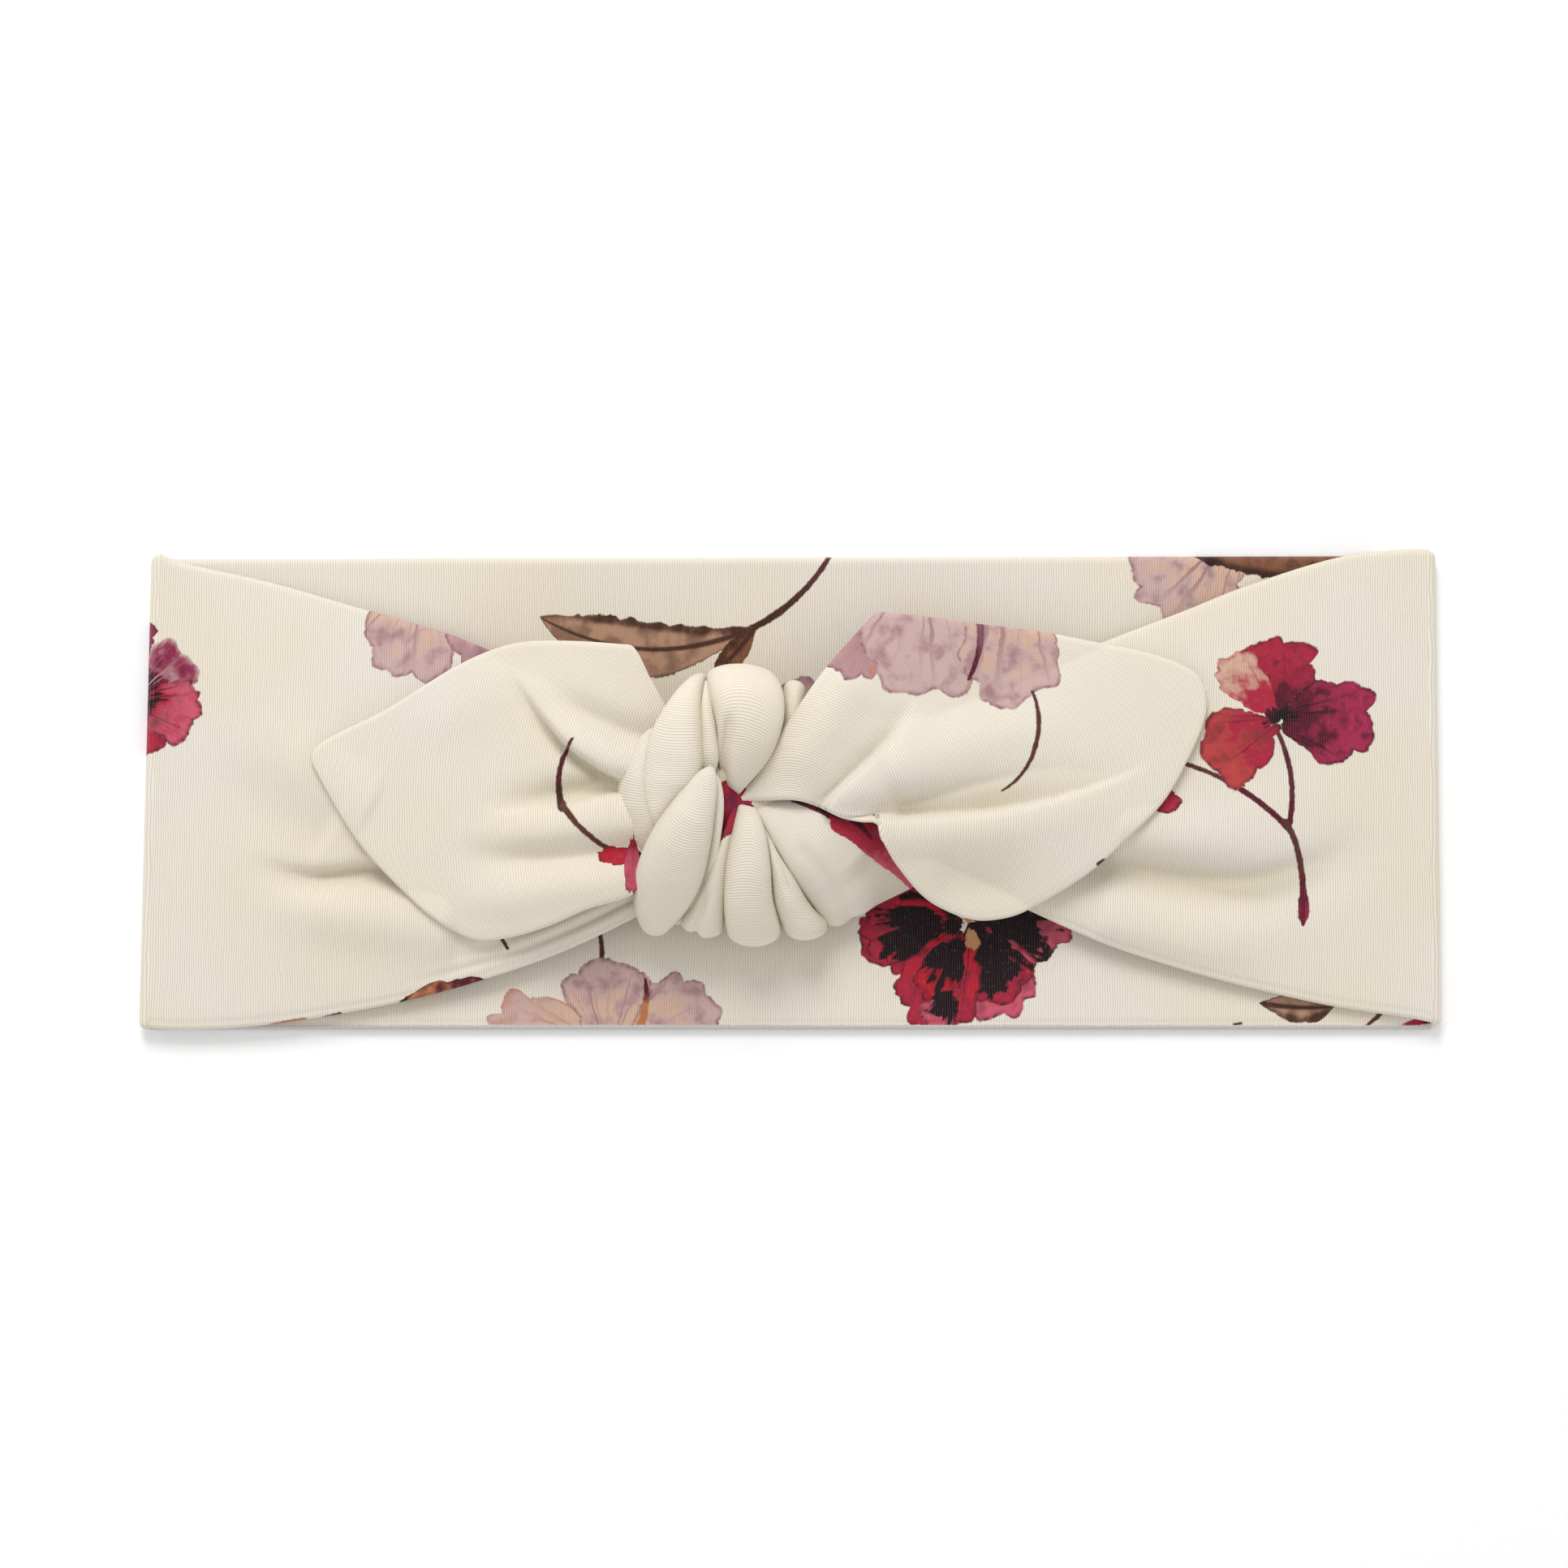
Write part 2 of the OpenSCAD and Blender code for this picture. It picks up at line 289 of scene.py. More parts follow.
class Arm:
    """One front arm: its edges, and the height of the cloth anywhere on it."""

    def __init__(self, side, low, high, wrinkles):
        self.side = side
        self.low, self.high = np.array(low, float), np.array(high, float)
        self.wrinkles = wrinkles

    def edges_at(self, x):
        """Y of the lower and the upper edge at x."""
        reach = self.side * x
        low = smooth_line(self.low, 200)
        high = smooth_line(self.high, 200)
        order = slice(None, None, -1)
        return (
            np.interp(reach, self.side * low[order, 0], low[order, 1]),
            np.interp(reach, self.side * high[order, 0], high[order, 1]),
        )

    def middle(self, x, y, wrinkled=True):
        """Height of the middle of the strap's thickness."""
        low, high = self.edges_at(x)
        v = np.clip((y - low) / (high - low), 0, 1)
        near = np.clip((FOLD_X - self.side * x) / (FOLD_X - HINGE_X), 0, 1.25)
        arch = np.clip(4 * v * (1 - v), 0, 1) ** 0.6
        puff = 1.9 * ease(near / 0.4) * (1 - 0.5 * near) * np.sin(math.pi * v) ** 0.8
        z = FRONT_LOW + STRAP_HALF + 2.4 * near ** 2.4 + 3.2 * near ** 1.8 * arch + puff
        if wrinkled:
            z = z + self.creasing(x, y) * ease(near / 0.12) * ease((v + 0.02) / 0.1)
        return np.maximum(z, FRONT_LOW + STRAP_HALF)

    def creasing(self, x, y):
        """What the wrinkles add to the height."""
        return sum(wrinkle(x, y) for wrinkle in self.wrinkles)


LEFT_ARM = Arm(
    -1,
    [(-98.8, -36.8), (-94.9, -37.1), (-81.2, -36.4), (-60.8, -33), (-47.6, -29.5),
     (-35.3, -25.1), (-23, -19.2), (-14, -14)],
    [(-96.9, 36.3), (-94.4, 35.2), (-79.2, 31.7), (-65.1, 27.6), (-51.6, 23.6),
     (-45.7, 21.2), (-30, 14.5), (-14, 8)],
    [
        groove([(-58, -11.5), (-66, -12.8), (-74, -13.4), (-84, -11)],
                            2.4, 3, start=0.05, end=0.5, far=1.4),
        ridge([(-50, -22), (-66, -19.5), (-84, -16)], 1.6, 4.5, 0.1, 0.5),
        ridge([(-62, -3), (-74, 3), (-84, 12)], 1, 6, 0.1, 0.5),
        groove([(-70, -8), (-80, -2), (-88, 8)], 0.8, 5, 0.1, 0.5),
        groove([(-20, -14.6), (-34, -21.6), (-47, -26.6), (-62, -30.4)], 0.7, 0.7, 0.1, 0.5),
        groove([(-20, -11.8), (-34, -18.8), (-47, -24.2), (-58, -27.6)], 0.6, 0.8, 0.1, 0.6),
    ],
)
RIGHT_ARM = Arm(
    1,
    [(99.1, -36), (96.3, -35.4), (83.4, -33.4), (66.2, -29.4), (49.4, -24.1),
     (37.4, -18.8), (30, -15), (22, -11.4)],
    [(98.2, 37), (94.1, 36.9), (85.4, 35.9), (70.6, 31.4), (60.6, 27.4),
     (47.7, 22.4), (34, 16.5), (22, 11.8)],
    [
        groove([(32, -8), (44, -10.6), (58, -13), (72, -14.5), (84, -10.5), (92, -4)],
                            2.6, 3, start=0.35, end=0.4, far=4.5),
        ridge([(48, -6), (62, -7), (78, -6)], 1.2, 4.5, 0.1, 0.5),
        ridge([(46, -20), (62, -23), (80, -24)], 1, 5, 0.1, 0.5),
        groove([(66, 3), (78, 6), (88, 12)], 0.6, 5, 0.1, 0.5),
    ],
)


def seam_groove(v, width, depth=0.22, place=1.1, half=0.32):
    """The stitched line just inside a lower edge, as a drop in the upper surface."""
    return -depth * np.exp(-(((v * width) - place) / half) ** 2)


def shaded(folds):
    """How deep in a fold each place is, which sets how much painted shade its colour gets."""
    return 0.2 + np.clip(-folds / 2.2, 0, 1) * 0.8


def fold_line(side, y):
    """X of the fold's inner line at y: the flat band is a little shorter along its upper edge."""
    t = np.clip((y - BAND_LOW) / (BAND_HIGH - BAND_LOW), -0.05, 1.05)
    low_x, slant = FOLD_AT[side]
    return side * (low_x - slant * t)


def make_arm(name, arm):
    """One front arm, from its fold to where it enters the knot."""
    rows, cols = 170, 100
    low, high = smooth_line(arm.low, rows), smooth_line(arm.high, rows)
    v = across(cols)
    x, y = between(low[:, None], high[:, None], v[:, None]).transpose(2, 0, 1)
    x[0] = between(fold_line(arm.side, arm.low[0][1]), fold_line(arm.side, arm.high[0][1]), v)
    mid = np.stack([x, y, arm.middle(x, y)], axis=2)
    width = np.linalg.norm(high - low, axis=1)[:, None]
    half = STRAP_HALF * rounded(v[None], width, STRAP_EDGE)
    n = facing(calmed(mid, 8), UP)
    upper = mid + n * half[..., None]
    upper[..., 2] += seam_groove(v[None], width) * (half / STRAP_HALF) ** 2
    under = mid - n * half[..., None]
    under[..., 2] = np.maximum(under[..., 2], FRONT_LOW)
    fabric = np.stack(np.broadcast_arrays(run_of(mid)[:, None], width_of(mid)), axis=2)
    return skin(name, upper, under, fabric, shaded(arm.creasing(x, y)), capped=(True, False))


def make_back(name, side):
    """Half of the back, from the middle to a fold."""
    rows, cols = 100, 110
    u = np.linspace(0, 1, rows)[:, None]
    v = across(cols)[None]
    high = BAND_HIGH + BACK_SLANT * side * u
    y = between(BAND_LOW, high, v)
    x = u * fold_line(side, y)
    width = high - BAND_LOW
    half, x, y = np.broadcast_arrays(STRAP_HALF * rounded(v, width, BACK_EDGE), x, y)
    upper_z = STRAP_HALF + half + seam_groove(v, width) * (half / STRAP_HALF) ** 2
    upper = np.stack([x, y, upper_z], axis=2)
    under = np.stack([x, y, STRAP_HALF - half], axis=2)
    return skin(name, upper, under, upper[..., :2], capped=(True, True))


def make_fold(name, arm):
    """The half turn of the strap between the back and an arm."""
    rows, cols = 25, 110
    angle = np.linspace(-math.pi / 2, math.pi / 2, rows)[:, None]
    turn = angle / math.pi + 0.5
    v = across(cols)[None]
    low = between(BAND_LOW, arm.low[0][1], turn)
    high = between(BAND_HIGH + BACK_SLANT * arm.side, arm.high[0][1], turn)
    y = between(low, high, v)
    inner, outer = FOLD_Z - BACK_TOP, FOLD_Z
    middle, half = (inner + outer) / 2, (outer - inner) / 2 * rounded(v, high - low, FOLD_EDGE)
    upper, under = [
        np.stack(np.broadcast_arrays(
            fold_line(arm.side, y) + arm.side * radius * np.cos(angle),
            y,
            FOLD_Z + radius * np.sin(angle)), axis=2)
        for radius in (middle + half, middle - half)]
    fabric = np.stack(np.broadcast_arrays(FOLD_X + angle * middle, y), axis=2)
    return skin(name, upper, under, fabric, capped=(True, True))


# ---- the tails ----


def make_tail(name, arm, low, high, folds, near_knot, rib_centre):
    """A pointed tail that lies on its arm and rises to the knot. Its ribs curve round rib_centre."""
    rows, cols = 150, 110
    low, high = smooth_line(low, rows), smooth_line(high, rows)
    v = across(cols)[None]
    x, y = between(low[:, None], high[:, None], v[..., None]).transpose(2, 0, 1)
    low_y, high_y = arm.edges_at(x)
    inside_y = np.clip(y, low_y + 1, high_y - 1)
    off_arm = np.hypot(np.abs(y - inside_y), 2) - 2
    on_arm = arm.middle(x, inside_y, wrinkled=False) + 2 * STRAP_HALF + TAIL_LIE
    clear = arm.middle(x, inside_y) + 2 * STRAP_HALF + TAIL_GAP - 0.35 * off_arm
    near, rise = near_knot(x, y)
    creasing = sum(fold(x, y) for fold in folds)
    z = np.maximum(between(on_arm - 0.12 * off_arm, rise, near) + creasing, clear)
    mid = np.stack([x, y, z], axis=2)
    width = np.linalg.norm(high - low, axis=1)[:, None]
    along = np.linspace(0, 1, rows)[:, None]
    round_edge = rounded(v, np.maximum(width, 2.5), STRAP_EDGE) * round_off((1 - along) / TAIL_TIP)
    half = STRAP_HALF * round_edge
    n = facing(calmed(mid, 12), UP)
    upper = mid + n * half[..., None]
    stitched = seam_groove(v, width, depth=0.07, place=1.0) * round_edge ** 2
    upper[..., 2] += stitched * ease((along - 0.3) / 0.15)
    under = mid - n * half[..., None]
    fabric = np.stack([np.hypot(x - rib_centre[0], y - rib_centre[1]), y], axis=2)
    return skin(name, upper, under, fabric, shaded(creasing), capped=(True, False))


def left_rise(x, y):
    """How near the left tail is to its root beside the knot, and its height there."""
    return ease((x + 48) / 22), np.full_like(x, LEFT_ROOT_Z)


def right_rise(x, y):
    """How near the right tail is to the pinch at the top of the knot, and its height there."""
    r = np.hypot(x - PINCH[0], y - PINCH[1])
    return ease((46 - r) / 30), 14.2 + 0.9 * ease(r / 8) - 3.6 * ease((r - 12) / 26)


LEFT_TAIL = dict(
    arm=LEFT_ARM, near_knot=left_rise, rib_centre=(12, -2),
    low=[(-16, -6), (-19, -11), (-23.3, -15.7), (-30.6, -18.2), (-36.8, -20.9), (-42.9, -22.7),
         (-48.2, -23), (-54.2, -19.8), (-59.6, -15.1), (-65.8, -8.3), (-71.2, 0.6), (-73.1, 4.2)],
    high=[(-16, 6), (-18.6, 12.5), (-21.2, 17.2), (-23, 20.8), (-23.9, 21.8), (-25.4, 22),
          (-34.3, 22.6), (-40.9, 22.5), (-45.7, 21.3), (-50.9, 18.9), (-56, 15.8), (-61.6, 12.3),
          (-71.6, 7.1), (-73.3, 5.2)],
    folds=[
        flap([(-43, 19), (-39.8, 14.5), (-36.8, 10.7), (-33.4, 7), (-29.3, 4.1), (-24.5, 1.2), (-18, -3)],
                          3.8, 0.7, 6, start=0.5, end=0),
        groove([(-20, 6.8), (-27, 9.4), (-34, 13), (-38, 16.5)], 2.2, 2.6, 0, 0.5),
        flap([(-19, -0.4), (-25, -0.9), (-29, -1.6), (-34.5, -3), (-41, -3.6), (-48, -3.2)],
                          2.2, 0.9, 6, start=0, end=0.6),
        groove([(-22, 0.8), (-30, 0.6), (-40, -1), (-48, -2)], 1.5, 2.2, 0, 0.6),
        groove([(-22, -8.8), (-31, -9.9), (-42, -10.4), (-52, -9.5)], 1.5, 2.4, 0, 0.5),
        ridge([(-22, -5), (-32, -6), (-44, -7), (-54, -5.5)], 1, 2.6, 0, 0.5),
        ridge([(-24, -13), (-34, -14.8), (-46, -16.5), (-54, -14)], 1.4, 3.6, 0, 0.4),
        ridge([(-38, 20), (-50, 13), (-62, 7)], 0.7, 5, 0.3, 0.4),
    ],
)
RIGHT_TAIL = dict(
    arm=RIGHT_ARM, near_knot=right_rise, rib_centre=(0, -4),
    low=[(-6.9, -1.9), (-3, -1.7), (1.1, -1.7), (4.6, -2.8), (7.6, -4.2), (11, -4.8), (13.2, -5),
         (14.2, -6.4), (14.8, -9.2), (17.2, -12.8), (19.9, -15.9), (22.3, -17.7), (26.6, -19.6),
         (29.5, -20.1), (34.3, -19.4), (38.3, -17.5), (46.1, -12.5), (51.7, -7.4), (57.2, -1.9),
         (60.6, 3.8), (63, 9), (64, 12.4)],
    high=[(-7.4, -0.9), (-4.4, 3.2), (-1.6, 8), (2.2, 13.8), (4.6, 17.2), (7.4, 20.6), (10.4, 24),
          (12.8, 26.5), (13.5, 27), (14.6, 27), (21, 26.4), (28.5, 25.4), (38.8, 24.1), (47.7, 22.4),
          (55, 20.9), (60, 19.1), (62.4, 17.6), (63.9, 14.8)],
    folds=[
        flap([(18.6, 15), (18, 11.3), (15.4, 6.6), (10.9, 2.4), (6, -2), (2, -6)],
                          2.3, 1, 7, start=0.4, end=0.1),
        flap([(57, 4.5), (48, 0.6), (40, -1.9), (31, -3.7), (22, -4.5), (14, -4.9), (8, -5)],
                          3.6, 1.2, 8, start=0.6, end=0),
        groove([(14, -2.8), (24, -1.6), (35, 0.4), (48, 4)], 1.4, 2.6, 0.1, 0.6),
        ridge([(2, 6), (7, 13), (12, 20)], 1.8, 4.6, 0, 0.35),
        ridge([(14, 0.5), (22, 5), (33, 8.5), (46, 10)], 1.2, 4.2, 0.1, 0.5),
        groove([(24, 14), (34, 16), (46, 17)], 0.7, 5, 0.3, 0.5),
        groove([(20, -13.5), (30, -14.5), (41, -11.5)], 0.8, 4.2, 0.2, 0.5),
    ],
)


# ---- the knot ----


def lobe(name, low, high, bulge, thick, rows=96, cols=44, creases=(), bow=0.0):
    """One wrap or pleat of the knot between two creases, given as points in x, y and z.

    bulge is how far it swells between them, as heights along its run, and thick its depth below.
    bow bends its ribs. Each crease is (share across at the start, at the end, depth, width in mm,
    start and end of its run).
    """
    low, high = smooth_line(low, rows), smooth_line(high, rows)
    v = (0.5 - 0.5 * np.cos(math.pi * np.linspace(0, 1, cols)))[None]
    mid = between(low[:, None], high[:, None], v[..., None])
    run = np.linspace(0, 1, rows)[:, None]
    swell = np.interp(run, np.linspace(0, 1, len(bulge)), bulge)
    section = np.sqrt(np.clip(1 - (2 * v - 1) ** 2, 0, 1))
    closing = rounded(run, 1, 0.06)
    n = facing(mid, mid - KNOT_HEART)
    width = np.linalg.norm(high - low, axis=1)[:, None]
    dent = np.zeros(mid.shape[:2])
    for start_v, end_v, depth, size, start, end in creases:
        side = (v - (start_v + (end_v - start_v) * run)) * width
        in_run = ease((run - start) / 0.12 + 0.5) * ease((end - run) / 0.12 + 0.5)
        dent = dent + depth * np.exp(-((side / size) ** 2)) * in_run
    upper = mid + n * ((swell * section - dent) * closing)[..., None]
    under = mid - n * (thick * section * closing)[..., None]
    length = run_of(mid)[:, None] + bow * 4 * v * (1 - v)
    fabric = np.stack(np.broadcast_arrays(length, (v - 0.5) * width), axis=2)
    # Painted shade: the crease value darkens the lobe towards its edges, where it turns under, and in its
    # dents.
    return skin(name, upper, under, fabric, crease=1 - section + 0.4 * np.clip(dent, 0, 1))


LOBES = {
    "knot_left_wrap_outer": dict(
        low=[(-21.4, 8.8, 12), (-23.6, 5.2, 9), (-24.9, 1, 7), (-25, -3, 6.4), (-24.2, -7.6, 6.4),
             (-22.6, -11, 7)],
        high=[(-20.6, 9.4, 14.5), (-21, 6.2, 16), (-21.4, 2.4, 17.3), (-21.2, -1.4, 17.6),
              (-20, -5, 17.2), (-20.4, -9, 14)],
        bulge=[0.5, 1.6, 2.4, 2.6, 2.2, 1], thick=3, bow=0.6),
    "knot_left_wrap": dict(
        low=[(-13.9, 17.2, 7.5), (-15.2, 15.9, 11), (-17.6, 13, 14), (-20.6, 8.2, 15.6),
             (-21.6, 4, 16.2), (-21.6, 0, 16.4), (-20.4, -4.2, 16.2), (-19.5, -6.5, 14.5)],
        high=[(-12.6, 17.4, 9.5), (-13, 15.6, 14.5), (-13.3, 12.6, 17.6), (-13.2, 8.2, 19.2),
              (-13.2, 3.6, 19.4), (-14.6, 0.4, 19.3), (-17.4, -2.6, 18.6), (-18.8, -5.8, 16)],
        bulge=[0.6, 1.4, 2.2, 2.9, 3.1, 2.8, 2, 0.8], thick=4.5, bow=-0.8),
    "knot_lens_pleat": dict(
        low=[(-12.7, 16.4, 15.2), (-13.25, 12.5, 17.3), (-13.35, 8.2, 18), (-13.3, 3.6, 17.6),
             (-12.6, 2.2, 16.5)],
        high=[(-12.4, 16.4, 15.2), (-11.6, 13.2, 17.2), (-10.9, 9, 17.8), (-10.6, 4.6, 17.4),
              (-11.2, 2.2, 16.5)],
        bulge=[0.2, 0.8, 1.3, 1.2, 0.4], thick=3, bow=-0.4),
    "knot_top_lobe": dict(
        low=[(-10.1, 1.2, 15.6), (-10.6, 4.2, 17.4), (-10.8, 9, 18.9), (-11.6, 13.4, 18.6),
             (-12.3, 16, 15.6), (-12.5, 17.2, 11.5), (-12, 16.4, 6)],
        high=[(-7.6, -0.8, 15), (-2.9, 4.9, 16.6), (-1, 9.8, 17), (-0.8, 13.6, 15.6), (-1.6, 16, 12.6),
              (-2.4, 16.9, 9), (-3, 16, 5)],
        bulge=[0.8, 1.6, 2.6, 3, 2.6, 2, 1], thick=4.5, bow=-1.2,
        creases=[(0.08, 0.36, 1.2, 0.9, -0.2, 0.40)]),
    "knot_small_lobe": dict(
        low=[(-7, -1, 14.6), (-2.8, 4.8, 15.2), (-1, 9, 14.8), (-0.8, 13, 13), (-0.9, 15.2, 10.4),
             (-0.6, 15.6, 7)],
        high=[(-6.2, -0.8, 14), (-3.2, 2.8, 14.4), (-0.2, 7.4, 13.6), (1.8, 12.4, 12), (2.4, 14.8, 10),
              (2, 15.4, 7)],
        bulge=[0.3, 0.8, 1.2, 1.6, 1.7, 1], thick=2.6, bow=-0.3),
    "knot_diagonal_wrap": dict(
        low=[(-11.9, 3.6, 18.8), (-13.9, 2.5, 19.6), (-16.9, -0.9, 19.4), (-19.9, -5, 18.4),
             (-22.2, -9.4, 15.8), (-23.4, -13.6, 12.4), (-23.5, -18, 9), (-22.6, -20.6, 6.5),
             (-21.5, -19.6, 3.5)],
        high=[(-11.2, 3.2, 18.8), (-10.8, 1, 19.2), (-11.2, -4.2, 19), (-12, -9.4, 17.6),
              (-13.1, -13.8, 15.6), (-15, -17.6, 12.6), (-17.2, -20.2, 9.5), (-18.6, -21.2, 6.5),
              (-18.6, -19.8, 3.5)],
        bulge=[0.6, 1.8, 3.2, 3.6, 3.4, 3, 2.4, 1.8, 0.8], thick=5, rows=120, bow=-1),
    "knot_rim": dict(
        low=[(-11.4, 2.6, 17.6), (-11.3, -0.8, 18), (-11.9, -7.8, 17), (-13.2, -13.4, 14.6),
             (-15.2, -17.6, 11.6), (-17.8, -20.4, 7)],
        high=[(-10.4, 1.6, 17.2), (-9.9, -2, 17.2), (-10.6, -7.8, 16.2), (-12.2, -13.2, 13.8),
              (-14.4, -17.6, 10.8), (-17, -20.8, 7)],
        bulge=[0.5, 0.9, 1.1, 1.1, 1, 0.5], thick=1.6, cols=24),
    "knot_fan_a": dict(
        low=[(-8.2, -2.2, 14), (-9.6, -6.3, 15.2), (-11.5, -11.5, 14.4), (-14.1, -16.1, 11.4),
             (-16.6, -19.4, 8.4), (-16.6, -18.8, 4)],
        high=[(-7.6, -2.2, 14.4), (-8.5, -6.3, 15.8), (-9.5, -11.4, 15.6), (-10, -16.8, 13.4),
              (-10.1, -21.2, 9), (-10.1, -20.6, 4)],
        bulge=[0.4, 1.2, 1.8, 2.2, 2.4, 1.2], thick=3.6, bow=1,
        creases=[(0.5, 0.42, 0.7, 0.7, 0.55, 1.1)]),
    "knot_fan_b": dict(
        low=[(-7.6, -2, 14.4), (-8.5, -5.8, 15.8), (-9.6, -11, 15.4), (-10, -16.8, 13),
             (-9.6, -21.4, 8.6), (-9.2, -20.6, 4)],
        high=[(-5, -2.8, 14.4), (-3.6, -6.4, 15.6), (-2.85, -11.3, 15.2), (-2.5, -16.4, 12.8),
              (-1.2, -21.2, 8.4), (-1.6, -20.6, 4)],
        bulge=[0.6, 1.8, 2.6, 3, 3, 1.4], thick=4, bow=1.2),
    "knot_fan_c": dict(
        low=[(-4.6, -3.6, 13.8), (-3.4, -7.8, 14.4), (-2.75, -12.6, 13.6), (-2.3, -17, 11.4),
             (-0.8, -21.2, 7.6), (-0.8, -20.4, 4)],
        high=[(-4, -4.2, 13.8), (-2, -9, 14.2), (0.7, -13.4, 13.2), (3, -17.6, 10.6), (5.8, -21, 7),
              (5, -20.2, 4)],
        bulge=[0.3, 0.9, 1.5, 2, 2.4, 1.2], thick=3.4, bow=1.2,
        creases=[(0.62, 0.5, 0.5, 0.5, 0.1, 0.5)]),
    "knot_right_lobe": dict(
        low=[(-5.2, -3, 14.2), (-3, -7, 14.6), (0, -12.3, 13.4), (2.9, -16.8, 9.4), (6, -20.8, 5),
             (7.4, -20.8, 2.6)],
        high=[(-4.8, -1.6, 12.6), (0.6, -1.4, 12.4), (6.6, -2.2, 12), (13.8, -5.2, 10.2),
              (18.6, -11.6, 6.4), (19.4, -15, 3.4)],
        bulge=[0.4, 1.2, 1.9, 2.2, 2, 1], thick=3.2, cols=60, bow=0.5,
        creases=[(0.30, 0.22, 0.5, 1.1, 0.35, 1.2), (0.62, 0.66, 1.1, 3.6, 0.66, 1.3)]),
}


def tube(name, x, y, z, crease):
    """A closed skin from rings of points, each of which starts with its upper side."""
    grid = np.stack(np.broadcast_arrays(x, y, z), axis=2)
    half = grid.shape[1] // 2
    upper, under = grid[:, :half + 1], grid[:, half:][:, ::-1]
    return skin(name, upper, under, upper[..., :2], crease=np.full(upper.shape[:2], crease))


def tube_places(rows, half):
    """Shares of the way along a tube, and angles round it."""
    return np.linspace(0, 1, rows)[:, None], np.linspace(0, 2 * math.pi, 2 * half + 1)[None]


def make_core():
    """The strap squeezed inside the knot, which shows only deep between the lobes."""
    t, angle = tube_places(48, 24)
    x = CORE_MIDDLE[0] + CORE_HALF[0] * (2 * t - 1)
    size = np.sqrt(np.clip(1 - (2 * t - 1) ** 2, 0, 1)) ** 0.7
    slim = ease((x - 3) / 12)
    y = CORE_MIDDLE[1] + (CORE_HALF[1] - 3 * slim) * size * np.cos(angle)
    fullness = np.sign(np.sin(angle)) * np.abs(np.sin(angle)) ** 0.65
    at_pinch = np.exp(-((x + 11.2) ** 2 + (y - 2.4) ** 2) / 7)
    lower = 1 - 0.5 * ease((x + 8) / 12) * (fullness > 0)
    z = CORE_MIDDLE[2] + CORE_HALF[2] * size * fullness * lower
    z = z + (2.4 * at_pinch - 2.6 * slim) * (fullness > 0)
    # Painted shade: the whole core gets the full fold shade in its colour, as it lies deep between the
    # lobes.
    return tube("knot_core_cloth", x, y, z, crease=1.0)


def make_root():
    """The gathered strap where it leaves the knot, inside the end of the right arm."""
    t, angle = tube_places(56, 40)
    x = 6 + 22.6 * t + 0 * angle
    closing = rounded(t, 1, 0.1)
    y = (5.0 + 5.6 * t) * (0.9 + 0.1 * closing) * np.cos(angle)
    gathers = 0.3 * np.cos(y * 1.9) * (np.sin(angle) > 0)
    z = 4.6 + 0.8 * t + closing * ((1.8 + 0.9 * t) * np.sin(angle) + gathers)
    arm_z = RIGHT_ARM.middle(np.maximum(x, 22.5), y, wrinkled=False)
    z = np.minimum(z, arm_z - STRAP_HALF - 0.4)
    # Painted shade: the root gets some fold shade in its colour.
    return tube("knot_right_root_cloth", x, y, z, crease=0.4)


# ---- colours of the cloth and its print ----

WHITE = (0.81, 0.755, 0.67, 1)
WARM_WHITE = (0.81, 0.74, 0.62, 1)
WINE = (0.10, 0.006, 0.022, 1)
CRIMSON = (0.42, 0.018, 0.05, 1)
PINK = (0.62, 0.10, 0.16, 1)
MAGENTA = (0.28, 0.022, 0.08, 1)
RED = (0.50, 0.012, 0.032, 1)
INK = (0.02, 0.004, 0.008, 1)
MAUVE = (0.46, 0.27, 0.29, 1)
LILAC = (0.60, 0.42, 0.40, 1)
PEACH = (0.66, 0.44, 0.34, 1)
PLUM = (0.24, 0.09, 0.13, 1)
ORANGE = (0.52, 0.19, 0.08, 1)
TAN = (0.55, 0.34, 0.16, 1)
ROSE = (0.40, 0.022, 0.085, 1)
SALMON = (0.52, 0.06, 0.06, 1)
# Painted shade on the back's rolled lower edge, which turns away from the light.
ROLLED_EDGE_SHADE = (0.60, 0.575, 0.58, 1)
LEAF_TAN = (0.47, 0.27, 0.18, 1)
BROWN = (0.24, 0.10, 0.05, 1)
UMBER = (0.055, 0.018, 0.01, 1)
STEM = (0.10, 0.028, 0.022, 1)
BLOT = (0.012, 0.004, 0.007, 1)
# Painted shade: mixed into the cloth's colour in folds and deep places, by the crease attribute.
FOLD_SHADE = (0.64, 0.575, 0.43, 1)
# Painted shade between the knit's ribs.
STITCH_SHADE = (0.72, 0.67, 0.56, 1)


# ---- shader nodes ----


def feed(tree, value, slot):
    """Link a wire to an input, or set the input to a plain value."""
    if isinstance(value, Wire):
        tree.links.new(value.socket, slot)
    else:
        slot.default_value = value


def add_node(tree, kind, inputs, output=0, **settings):
    """A new shader node with its inputs fed, as the wire from one of its outputs."""
    node = tree.nodes.new("ShaderNode" + kind)
    for label, value in settings.items():
        setattr(node, label, value)
    for slot, value in inputs.items():
        feed(tree, value, node.inputs[slot])
    return Wire(tree, node.outputs[output])


